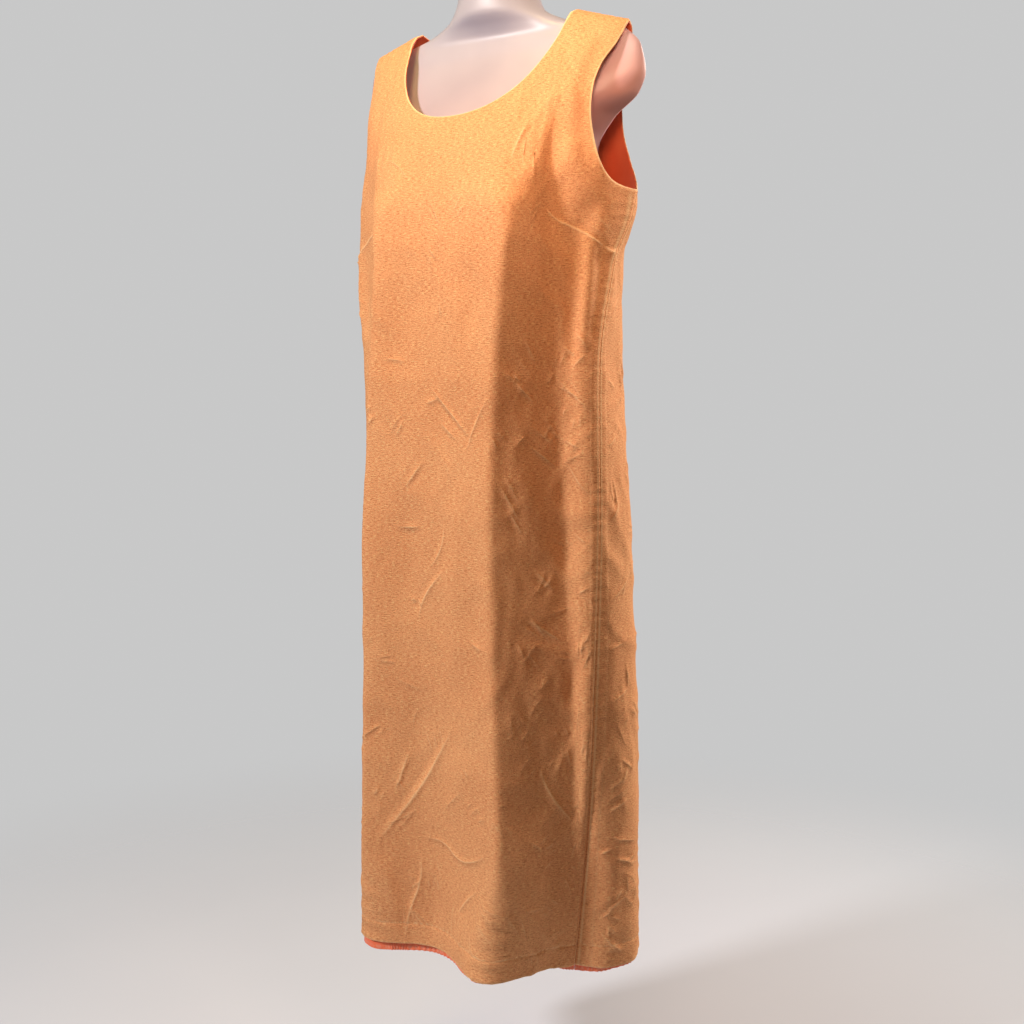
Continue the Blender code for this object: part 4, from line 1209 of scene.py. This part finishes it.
def build_form():
    """An open-backed moulded shell with a flat-topped neck and a beaded rim."""
    top, foot = FORM_ROWS[-1].height, FORM_ROWS[0].height
    reach = FORM_ROWS[-1].half_width
    rows = [(top, s) for s in np.linspace(0, 1 - NECK_EDGE_RADIUS / reach, NECK_TOP_ROWS)]
    for turn in np.linspace(0, math.pi / 2, NECK_EDGE_ROWS)[1:]:
        drawn = NECK_EDGE_RADIUS * (1 - math.sin(turn)) / reach
        rows.append((top - NECK_EDGE_RADIUS * (1 - math.cos(turn)), 1 - drawn))
    count = math.ceil((rows[-1][0] - foot) / FORM_ROW_SPACING)
    rows += [(h, 1.0) for h in np.linspace(rows[-1][0], foot, count + 1)[1:]]
    even = np.linspace(-1, 1, FORM_COLUMNS + 1)
    angles = np.sin(even * math.pi / 2) * CROWDED
    angles += even * (math.pi / 2 - RIM_TURN - CROWDED)
    grid = np.array([form_surface(np.full(len(angles), h), angles, s) for h, s in rows])
    down, over = np.gradient(grid, axis=0), np.gradient(grid, axis=1)
    normal = np.cross(down, over)
    size = np.linalg.norm(normal, axis=2)[..., None]
    normal = np.where(size > 1e-12, normal / np.maximum(size, 1e-12), (0, 0, 1))
    normal[0] = (0, 0, 1)
    # The rim is beaded inwards along both sides and the foot.
    side_gap = np.minimum(
        np.linalg.norm(grid - grid[:, :1], axis=2), np.linalg.norm(grid - grid[:, -1:], axis=2)
    )
    foot_gap = grid[..., 2] - grid[-1, 0, 2]
    beads = [bell(gap - RIM_BEAD_INSET, RIM_BEAD_WIDTH) for gap in (side_gap, foot_gap)]
    bead = RIM_BEAD * np.maximum(*beads)
    inner = grid - normal * (FORM_WALL + bead)[..., None]
    high, wide = grid.shape[:2]
    faces = []
    for sheet, way in ((0, 1), (high * wide, -1)):
        for r in range(high - 1):
            for c in range(wide - 1):
                a = sheet + r * wide + c
                faces.append((a, a + wide, a + wide + 1, a + 1)[::way])
    loop = [r * wide for r in range(high)] + [(high - 1) * wide + c for c in range(1, wide)]
    loop += [r * wide + wide - 1 for r in range(high - 2, -1, -1)]
    for a, b in zip(loop, loop[1:]):
        faces.append((a, b, b + high * wide, a + high * wide))
    data = bpy.data.meshes.new("form_shell_moulded")
    data.from_pydata(np.concatenate([grid.reshape(-1, 3), inner.reshape(-1, 3)]), [], faces)
    mesh = bmesh.new()
    mesh.from_mesh(data)
    bmesh.ops.remove_doubles(mesh, verts=mesh.verts, dist=MERGED)
    bmesh.ops.dissolve_degenerate(mesh, edges=mesh.edges, dist=TINY)
    bmesh.ops.holes_fill(mesh, edges=[e for e in mesh.edges if e.is_boundary])
    return place_mesh(mesh, data)


def revolve(name, profile, centre):
    """A closed turned solid from (radius, height) points in millimetres, both ends on the axis."""
    mesh = bmesh.new()
    verts = [mesh.verts.new((r * MM, 0, h * MM)) for r, h in profile]
    edges = [mesh.edges.new(pair) for pair in zip(verts, verts[1:])]
    bmesh.ops.spin(
        mesh, geom=verts + edges, cent=(0, 0, 0), axis=(0, 0, 1), angle=2 * math.pi, steps=FERRULE_SIDES
    )
    bmesh.ops.remove_doubles(mesh, verts=mesh.verts, dist=TINY)
    bmesh.ops.translate(mesh, verts=mesh.verts, vec=centre)
    made = place_mesh(mesh, bpy.data.meshes.new(name))
    made.data.set_sharp_from_angle(angle=FERRULE_EDGE)
    return made


def build_wire():
    """The bent wire, with a rounded tip, from the ferrule up and round to its open end."""
    centre_z = -HOOK_RADIUS + WIRE_RADIUS
    foot = SHOULDER_Z + NECK_ABOVE_SHOULDER + WIRE_FOOT
    start = np.array((HOOK_RADIUS * math.cos(HOOK_START), centre_z + HOOK_RADIUS * math.sin(HOOK_START)))
    low = np.array((0.0, foot))
    knee = np.array((0.0, centre_z - HOOK_RADIUS - KNEE_BELOW))
    straight = [tuple(low + (knee - low) * s) for s in np.linspace(0, 1 - BEND_SHARE, 6)]
    lead, lifted = knee - (knee - low) * BEND_SHARE, knee + (0, KNEE_LIFT)
    bend = [tuple((1 - s) ** 2 * lead + 2 * s * (1 - s) * lifted + s * s * start)
            for s in np.linspace(0.05, 0.95, 10)]
    arc = [(HOOK_RADIUS * math.cos(a), centre_z + HOOK_RADIUS * math.sin(a))
           for a in np.linspace(HOOK_START, HOOK_END, ARC_POINTS)]
    path = np.array(straight + bend + arc)
    way = np.gradient(path, axis=0)
    way /= np.linalg.norm(way, axis=1)[:, None]
    size = np.full(len(path), WIRE_RADIUS)
    tip = np.linalg.norm(path - path[-1], axis=1)
    near = tip < WIRE_RADIUS
    rounded = WIRE_RADIUS**2 - (WIRE_RADIUS - tip[near]) ** 2
    size[near] = np.sqrt(np.maximum(rounded, (TIP_FLAT * WIRE_RADIUS) ** 2))
    mesh = bmesh.new()
    rings = []
    for (x, z), (along_x, along_z), r in zip(path, way, size):
        turns = (2 * math.pi * i / WIRE_SIDES for i in range(WIRE_SIDES))
        spokes = ((r * math.cos(t), r * math.sin(t)) for t in turns)
        rings.append([mesh.verts.new((x + c * along_z, HOOK_Y + s, z - c * along_x)) for c, s in spokes])
    for below, above in zip(rings, rings[1:]):
        for i in range(WIRE_SIDES):
            j = (i + 1) % WIRE_SIDES
            mesh.faces.new((below[i], below[j], above[j], above[i]))
    mesh.faces.new(rings[0])
    mesh.faces.new(rings[-1])
    return place_mesh(mesh, bpy.data.meshes.new("hook_wire_bent"))


# ---------------------------------------------------------------------------------------------
# Materials. Pattern widths and lengths are in metres, so a scale is 1 / the size in metres.


def linear(hex_colour):
    """An sRGB hex colour as linear red, green, blue and alpha."""
    values = (int(hex_colour.lstrip("#")[i : i + 2], 16) / 255 for i in (0, 2, 4))
    return (*(v / 12.92 if v <= 0.04045 else ((v + 0.055) / 1.055) ** 2.4 for v in values), 1.0)


def fill_sockets(tree, node, sockets):
    """Gives each of a node's sockets, by name or place, its value or a link from another node."""
    for key, value in sockets.items():
        if isinstance(value, bpy.types.NodeSocket):
            tree.links.new(value, node.inputs[key])
        else:
            node.inputs[key].default_value = value


def add_node(tree, kind, sockets=None, **settings):
    """Adds a node with its own settings, and fills its sockets."""
    node = tree.nodes.new(kind)
    for key, value in settings.items():
        setattr(node, key, value)
    fill_sockets(tree, node, sockets or {})
    return node


def new_material(name):
    made = bpy.data.materials.new(name)
    made.use_nodes = True
    return made, made.node_tree, made.node_tree.nodes["Principled BSDF"]


def patterns(tree, place, rows):
    """Noises by name, each from a row: its name, the metres that one of its blots is across and
    down, its detail and its roughness."""
    made = {}
    for name, across, down, detail, roughness in rows:
        scale = {"Vector": place, "Scale": (1 / across, 1 / down, 1 / across)}
        scaled = add_node(tree, "ShaderNodeMapping", scale).outputs["Vector"]
        sockets = {"Vector": scaled, "Scale": 1.0, "Detail": detail, "Roughness": roughness}
        made[name] = add_node(tree, "ShaderNodeTexNoise", sockets).outputs["Fac"]
    return made


def layered(tree, colour, layers):
    """Colours laid over a first one. Each layer is a pattern, its values where the layer begins
    and is full, how much of it then covers, and its colour."""
    colour = linear(colour)
    for pattern, begins, full, cover, tint in layers:
        spread = {"Value": pattern, "From Min": begins, "From Max": full, "To Max": cover}
        share = add_node(tree, "ShaderNodeMapRange", spread).outputs["Result"]
        sockets = {0: share, 6: colour, 7: linear(tint)}
        colour = add_node(tree, "ShaderNodeMix", sockets, data_type="RGBA").outputs[2]
    return colour


def cloth_material(settings):
    """Slubbed plain weave of linen and viscose, piece-dyed apricot. The thick and thin yarn gives
    short flecks along the weft. Crease crests, seams, stitching and turned edges are painted paler: painted
    highlights."""
    made, tree, shader = new_material("slubbed_plain_weave_apricot")
    place = add_node(tree, "ShaderNodeUVMap", uv_map="pattern").outputs["UV"]
    # A yarn is 0.45 mm thick: it is drawn 1.3 mm thick, so that it shows at all.
    weave = patterns(tree, place, (
        ("slub", settings.slub_length, settings.slub_thickness, 3.0, 0.62),
        ("warp", 0.0014, 0.0070, 2.0, 0.55),
        ("grain", 0.0017, 0.0013, 1.0, 0.5),
        ("patch", 0.15, 0.11, 2.0, 0.5),
    ))
    ridge = add_node(tree, "ShaderNodeAttribute", attribute_name="ridge").outputs["Fac"]
    edge = add_node(tree, "ShaderNodeAttribute", attribute_name="turned_edge").outputs["Fac"]
    colour = layered(tree, settings.cloth_deep, (
        (weave["patch"], 0.30, 0.70, 1.0, settings.cloth_light),
        (weave["slub"], 0.47, 0.32, 0.60, settings.fleck_dark),
        (weave["slub"], 0.53, 0.68, 0.70, settings.fleck_light),
        (weave["warp"], 0.54, 0.72, 0.20, settings.fleck_light),
        (weave["grain"], 0.48, 0.28, 0.55, settings.fleck_dark),
        # Painted highlights on crease crests, seams, stitching and turned edges.
        (ridge, 0.10, 1.0, 0.60, settings.painted_highlight_colour),
        (edge, 0.0, 1.0, 0.75, settings.painted_highlight_colour),
    ))
    relief = {0: weave["slub"], 1: weave["grain"]}
    relief = add_node(tree, "ShaderNodeMath", relief, operation="ADD").outputs["Value"]
    sockets = {"Height": relief, "Strength": 0.75, "Distance": 0.0007}
    fill_sockets(tree, shader, {
        "Base Color": colour,
        "Normal": add_node(tree, "ShaderNodeBump", sockets).outputs["Normal"],
        "Roughness": 0.86,
        "IOR": 1.5,
        "Specular IOR Level": 0.25,
        "Sheen Weight": 0.05,
        "Sheen Roughness": 0.45,
        "Sheen Tint": linear(settings.fleck_light),
    })
    return made


def lining_material(settings):
    """Woven acetate lining, dyed coral. It is fine and smooth, with a soft satin gloss, and its
    overlocked edge is sewn in a paler thread."""
    made, tree, shader = new_material("woven_acetate_coral")
    place = add_node(tree, "ShaderNodeUVMap", uv_map="pattern").outputs["UV"]
    weave = patterns(tree, place, (
        ("thread", 0.011, 0.0012, 2.0, 0.5),
        ("patch", 0.06, 0.09, 2.0, 0.5),
        # An overlocking stitch is 2 mm long.
        ("stitch", 0.0020, 0.009, 0.0, 0.5),
    ))
    # On the lining this marks only the overlocking stitches, in their own paler thread.
    ridge = add_node(tree, "ShaderNodeAttribute", attribute_name="ridge").outputs["Fac"]
    spread = {"Value": weave["stitch"], "From Min": 0.44, "From Max": 0.54}
    dotted = add_node(tree, "ShaderNodeMapRange", spread).outputs["Result"]
    sewn = add_node(tree, "ShaderNodeMath", {0: ridge, 1: dotted}, operation="MULTIPLY").outputs["Value"]
    colour = layered(tree, settings.lining_deep, (
        (weave["patch"], 0.3, 0.7, 1.0, settings.lining_light),
        (weave["thread"], 0.35, 0.65, 0.18, settings.lining_light),
        (sewn, 0.0, 1.0, 0.6, settings.lining_thread),
    ))
    sockets = {"Height": weave["thread"], "Strength": 0.25, "Distance": 0.0003}
    fill_sockets(tree, shader, {
        "Base Color": colour,
        "Normal": add_node(tree, "ShaderNodeBump", sockets).outputs["Normal"],
        "Roughness": 0.48,
        "IOR": 1.47,
        "Sheen Weight": 0.1,
    })
    return made


def form_material(settings):
    """Vacuum-formed polypropylene, milky and slightly translucent, with a soft gloss. The cloth
    behind it showing through is painted on as a tint: painted light."""
    made, tree, shader = new_material("milky_moulded_polypropylene")
    place = add_node(tree, "ShaderNodeTexCoord").outputs["Object"]
    # Flow marks 60 mm apart, and an orange-peel surface 1.5 mm apart.
    skin = patterns(tree, place, (("flow", 0.06, 0.06, 2.0, 0.5), ("peel", 0.0015, 0.0015, 2.0, 0.5)))
    # Painted light: the lining behind the arm caps and the lower chest, seen through the plastic, is
    # painted on them as a tint.
    part = add_node(tree, "ShaderNodeSeparateXYZ", {"Vector": place}).outputs
    aside = add_node(tree, "ShaderNodeMath", {0: part["X"]}, operation="ABSOLUTE").outputs["Value"]
    spread = {"Value": aside, "From Min": 0.135, "From Max": 0.185}
    aside = add_node(tree, "ShaderNodeMapRange", spread).outputs["Result"]
    spread = {"Value": part["Z"], "From Min": -0.150, "From Max": -0.270, "To Min": 0.12}
    below = add_node(tree, "ShaderNodeMapRange", spread).outputs["Result"]
    painted_glow_share = add_node(tree, "ShaderNodeMath", {0: aside, 1: below}, operation="MULTIPLY").outputs["Value"]
    colour = layered(tree, settings.form_shade, (
        (skin["flow"], 0.3, 0.7, 1.0, settings.form_colour),
        (below, 0.0, 1.0, 0.22, settings.painted_lining_glow),
        (painted_glow_share, 0.0, 1.0, 0.85, settings.painted_lining_glow),
    ))
    sockets = {"Height": skin["peel"], "Strength": 0.08, "Distance": 0.0002}
    spread = {"Value": skin["flow"], "From Min": 0.3, "From Max": 0.7, "To Min": 0.34, "To Max": 0.46}
    fill_sockets(tree, shader, {
        "Base Color": colour,
        "Normal": add_node(tree, "ShaderNodeBump", sockets).outputs["Normal"],
        "Roughness": add_node(tree, "ShaderNodeMapRange", spread).outputs["Result"],
        "IOR": 1.49,
        "Transmission Weight": 0.14,
    })
    return made


def steel_material(settings):
    """Bright nickel-plated drawn steel wire, with faint drawing lines."""
    made, tree, shader = new_material("nickel_plated_drawn_steel")
    place = add_node(tree, "ShaderNodeTexCoord").outputs["Object"]
    # Drawing lines are 0.1 mm apart: they are drawn 2 mm apart, so that they show at all.
    skin = patterns(tree, place, (("lines", 0.0022, 0.0022, 3.0, 0.6),))
    colour = layered(tree, settings.steel_shade, ((skin["lines"], 0.3, 0.7, 1.0, settings.steel_colour),))
    spread = {"Value": skin["lines"], "From Min": 0.3, "From Max": 0.7, "To Min": 0.18, "To Max": 0.30}
    fill_sockets(tree, shader, {
        "Base Color": colour,
        "Roughness": add_node(tree, "ShaderNodeMapRange", spread).outputs["Result"],
        "Metallic": 1.0,
    })
    return made


def stage_material(settings):
    """Matt painted floor, in one pale grey emulsion, with roller marks too faint to draw the eye."""
    made, tree, shader = new_material("matt_emulsion_pale_grey")
    place = add_node(tree, "ShaderNodeTexCoord").outputs["Object"]
    skin = patterns(tree, place, (("roller", 0.25, 0.25, 2.0, 0.5),))
    colour = layered(tree, settings.floor_shade, ((skin["roller"], 0.3, 0.7, 1.0, settings.floor_colour),))
    # The floor thins out with distance, so that it meets the air without a line.
    far = add_node(tree, "ShaderNodeVectorMath", {0: place}, operation="LENGTH").outputs["Value"]
    spread = {"Value": far, "To Min": 1.0, "To Max": 0.0}
    spread["From Min"], spread["From Max"] = FLOOR_FADE
    cover = add_node(tree, "ShaderNodeMapRange", spread, interpolation_type="SMOOTHSTEP")
    fill_sockets(tree, shader, {
        "Base Color": colour,
        "Alpha": cover.outputs["Result"],
        "Roughness": 0.95,
        "Specular IOR Level": 0.1,
    })
    return made


# ---------------------------------------------------------------------------------------------
# The stage.

CAMERA_AZIMUTH = 36
CAMERA_DISTANCE = 1.75
CAMERA_BELOW_SHOULDER = 0.395
CAMERA_PITCH = 7
CAMERA_YAW = 0.63
CAMERA_LENS = 48
FLOOR_BELOW_HEM = 0.25
FLOOR_RADIUS = 14
# How far out the floor begins to thin, and where it is gone.
FLOOR_FADE = (1.45, 2.35)

CHEST = (0, -0.05, -0.45)
LEFT_ARMHOLE = (0.19, -0.01, -0.27)
NECK = (0, -0.08, -0.2)
# Each light's name, where it stands, what it is turned to, its size and its colour.
LIGHTS = (
    ("key", (-1.17, -2.54, 0.80), CHEST, 0.5, "#fffaf8"),
    ("top", (-0.12, -0.42, 0.45), NECK, 0.3, "#ffdc8c"),
    ("side", (0.44, -0.44, -0.02), LEFT_ARMHOLE, 0.3, "#ffd2b0"),
    ("back", (1.15, 1.70, 0.35), CHEST, 1.0, "#fff0e2"),
)


def build_camera():
    azimuth, pitch = math.radians(CAMERA_AZIMUTH), math.radians(CAMERA_PITCH)
    yaw = azimuth - math.radians(CAMERA_YAW)
    level = Vector((-math.sin(yaw), math.cos(yaw), 0))
    right = Vector((math.cos(yaw), math.sin(yaw), 0))
    look = level * math.cos(pitch) - Vector((0, 0, math.sin(pitch)))
    up = right.cross(look)
    data = bpy.data.cameras.new("viewing_camera")
    data.lens, data.sensor_width = CAMERA_LENS, 36
    camera = bpy.data.objects.new("viewing_camera", data)
    place = Matrix((right, up, -look)).transposed().to_4x4()
    place.translation = (
        CAMERA_DISTANCE * math.sin(azimuth),
        -CAMERA_DISTANCE * math.cos(azimuth),
        SHOULDER_Z - CAMERA_BELOW_SHOULDER,
    )
    camera.matrix_world = place
    bpy.context.scene.collection.objects.link(camera)
    bpy.context.scene.camera = camera


def add_soft_light(name, place, target, size, power, colour):
    data = bpy.data.lights.new(name, "AREA")
    data.shape = "DISK"
    data.size, data.energy = size, power
    data.color = linear(colour)[:3]
    light = bpy.data.objects.new(name, data)
    light.location = place
    light.rotation_euler = (Vector(target) - Vector(place)).to_track_quat("-Z", "Y").to_euler()
    bpy.context.scene.collection.objects.link(light)


def build_floor(material):
    """A round floor, so wide that its edge is out of sight."""
    mesh = bmesh.new()
    bmesh.ops.create_circle(mesh, cap_ends=True, segments=96, radius=FLOOR_RADIUS)
    level = CAD_BOX[0][2] - FLOOR_BELOW_HEM
    bmesh.ops.translate(mesh, verts=mesh.verts, vec=(0, 0, level))
    data = bpy.data.meshes.new("floor")
    mesh.to_mesh(data)
    mesh.free()
    floor = bpy.data.objects.new("floor", data)
    bpy.context.scene.collection.objects.link(floor)
    data.materials.append(material)


def build_air(settings):
    """Even light from all round, with a lightness and a colour of its own where it is seen."""
    world = bpy.data.worlds.new("even_light")
    world.use_nodes = True
    bpy.context.scene.world = world
    tree = world.node_tree
    seen = add_node(tree, "ShaderNodeLightPath").outputs["Is Camera Ray"]
    spread = {"Value": seen, "To Min": settings.fill_strength, "To Max": settings.air_strength}
    tints = {0: seen, 6: linear(settings.air), 7: linear(settings.backdrop)}
    fill_sockets(tree, tree.nodes["Background"], {
        "Color": add_node(tree, "ShaderNodeMix", tints, data_type="RGBA").outputs[2],
        "Strength": add_node(tree, "ShaderNodeMapRange", spread).outputs["Result"],
    })


# ---------------------------------------------------------------------------------------------
# The add-on: settings, one operator for each group of pieces, and a panel that lists them.


def length_setting(name, says, default, least=0.0):
    return bpy.props.FloatProperty(
        name=name, description=says, default=default, min=least, unit="LENGTH"
    )


def hex_setting(name, says, default):
    return bpy.props.StringProperty(name=name, description=f"sRGB hex of {says}", default=default)


def power_setting(name, says, default):
    return bpy.props.FloatProperty(
        name=name, description=f"Power of the {says}", default=default, unit="POWER"
    )


class DressSettings(bpy.types.PropertyGroup):
    """The sizes and colours of the cloth and its lining."""

    grid: length_setting("Cloth grid", "Spacing of the cloth's points", 0.0051, 0.003)
    lining_grid: length_setting("Lining grid", "Spacing of the lining's points", 0.0075, 0.004)
    slub_length: length_setting("Slub length", "Length of a slub along the weft", 0.0052)
    slub_thickness: length_setting("Slub thickness", "Thickness of a slub", 0.0013)
    cloth_deep: hex_setting("Cloth, deep", "the deeper patches", "#e09b6b")
    cloth_light: hex_setting("Cloth, light", "the lighter patches", "#e8a674")
    fleck_dark: hex_setting("Dark fleck", "the thin yarn", "#a05626")
    fleck_light: hex_setting("Light fleck", "the thick yarn", "#fbd394")
    # The colour of the painted highlights on crease crests, seams, stitching and turned edges.
    painted_highlight_colour: hex_setting("Crease top", "pressed and turned edges", "#fbd9a6")
    lining_deep: hex_setting("Lining, deep", "the lining in its folds", "#ee6038")
    lining_light: hex_setting("Lining, light", "the lining's flats", "#ff8458")
    lining_thread: hex_setting("Lining thread", "the overlocking thread", "#f3b49c")


class FormSettings(bpy.types.PropertyGroup):
    """The colours of the form and its hook."""

    form_colour: hex_setting("Form", "the moulding", "#b6b5c4")
    form_shade: hex_setting("Form, shade", "its flow marks", "#aeaebe")
    # The colour of the painted light of the lining seen through the form.
    painted_lining_glow: hex_setting("Form, tint", "the lining seen through the form", "#f2aa98")
    steel_colour: hex_setting("Steel", "the plating", "#d9dadc")
    steel_shade: hex_setting("Steel, shade", "its drawing lines", "#bfc1c4")


class StageSettings(bpy.types.PropertyGroup):
    """The floor and the lights."""

    floor_colour: hex_setting("Floor", "the floor", "#d6dce6")
    floor_shade: hex_setting("Floor, shade", "the roller marks", "#d4dae4")
    key_power: power_setting("Key light", "key light", 87.0)
    top_power: power_setting("Top light", "warm light above", 4.4)
    air: hex_setting("Air", "the even light from all round", "#f0c79c")
    backdrop: hex_setting("Air, seen", "the air behind the dress", "#ececec")
    air_strength: bpy.props.FloatProperty(
        name="Air, lightness", description="How light the air looks behind the dress", default=0.69,
    )
    side_power: power_setting("Side light", "light at the left armhole", 3.1)
    back_power: power_setting("Back light", "light behind the dress", 70.0)
    fill_strength: bpy.props.FloatProperty(
        name="Fill", description="Strength of the even light from all round", default=0.098,
    )


def finish_piece(piece, material, nodes):
    """Gives a piece its material and its place in the part."""
    piece.data.materials.append(material)
    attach(piece, "root")
    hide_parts(*nodes)


class BuildDress(bpy.types.Operator):
    """Builds the front and the back of the dress"""

    bl_idname = "shift_dress.dress"
    bl_label = "Dress"

    def execute(self, context):
        settings = context.scene.shift_dress
        material = cloth_material(settings)
        for name, panel, partner, table in (
            ("front", FRONT, BACK, FRONT_CREASES),
            ("back", BACK, FRONT, BACK_CREASES),
        ):
            piece = build_dress_panel(name, panel, partner, table, settings.grid)
            finish_piece(piece, material, [f"dress_{name}"])
        return {"FINISHED"}


class BuildLining(bpy.types.Operator):
    """Builds the lining of the front and of the back"""

    bl_idname = "shift_dress.lining"
    bl_label = "Lining"

    def execute(self, context):
        settings = context.scene.shift_dress
        material = lining_material(settings)
        for name, panel, partner, table, rise in (
            ("front", FRONT, BACK, FRONT_CREASES, FRONT_LINING_RISE),
            ("back", BACK, FRONT, BACK_CREASES, BACK_LINING_RISE),
        ):
            piece = build_lining_panel(name, panel, partner, table, rise, settings.lining_grid)
            finish_piece(piece, material, [f"lining_{name}"])
        return {"FINISHED"}


class BuildForm(bpy.types.Operator):
    """Builds the moulded form"""

    bl_idname = "shift_dress.form"
    bl_label = "Form"

    def execute(self, context):
        material = form_material(context.scene.shift_dress_form)
        finish_piece(build_form(), material, ["form_shell"])
        return {"FINISHED"}


class BuildHook(bpy.types.Operator):
    """Builds the hook and its ferrule"""

    bl_idname = "shift_dress.hook"
    bl_label = "Hook"

    def execute(self, context):
        material = steel_material(context.scene.shift_dress_form)
        finish_piece(build_wire(), material, ["hook_wire"])
        seat = (0, HOOK_Y, SHOULDER_Z + NECK_ABOVE_SHOULDER + FERRULE_SEAT)
        ferrule = revolve("hook_ferrule_turned", FERRULE_PROFILE, seat)
        finish_piece(ferrule, material, ["hook_ferrule"])
        return {"FINISHED"}


class BuildStage(bpy.types.Operator):
    """Builds the floor, the lights and the camera"""

    bl_idname = "shift_dress.stage"
    bl_label = "Stage"

    def execute(self, context):
        settings = context.scene.shift_dress_stage
        build_floor(stage_material(settings))
        build_camera()
        for name, place, target, size, colour in LIGHTS:
            power = getattr(settings, f"{name}_power")
            add_soft_light(f"{name}_light", place, target, size, power, colour)
        build_air(settings)
        # Plain colours on the screen, so that the cloth's own colour is what shows.
        context.scene.view_settings.view_transform = "Standard"
        return {"FINISHED"}


class DressPanel(bpy.types.Panel):
    """Lists the builders of the dress's pieces"""

    bl_idname = "VIEW3D_PT_shift_dress"
    bl_label = "Shift dress"
    bl_space_type = "VIEW_3D"
    bl_region_type = "UI"
    bl_category = "Shift dress"

    def draw(self, context):
        for operator in BUILDERS:
            self.layout.operator(operator.bl_idname)
        for group in SETTINGS:
            settings = getattr(context.scene, group)
            for name in settings.bl_rna.properties.keys():
                if name not in ("rna_type", "name"):
                    self.layout.prop(settings, name)


BUILDERS = (BuildStage, BuildDress, BuildLining, BuildForm, BuildHook)
SETTINGS = {
    "shift_dress": DressSettings,
    "shift_dress_form": FormSettings,
    "shift_dress_stage": StageSettings,
}


def register():
    for group, kind in SETTINGS.items():
        bpy.utils.register_class(kind)
        setattr(bpy.types.Scene, group, bpy.props.PointerProperty(type=kind))
    for kind in (*BUILDERS, DressPanel):
        bpy.utils.register_class(kind)


def unregister():
    for kind in reversed((*BUILDERS, DressPanel)):
        bpy.utils.unregister_class(kind)
    for group, kind in SETTINGS.items():
        delattr(bpy.types.Scene, group)
        bpy.utils.unregister_class(kind)


def main():
    register()
    bpy.ops.shift_dress.stage()
    bpy.ops.shift_dress.dress()
    bpy.ops.shift_dress.lining()
    bpy.ops.shift_dress.form()
    bpy.ops.shift_dress.hook()


if __name__ == "__main__":
    main()
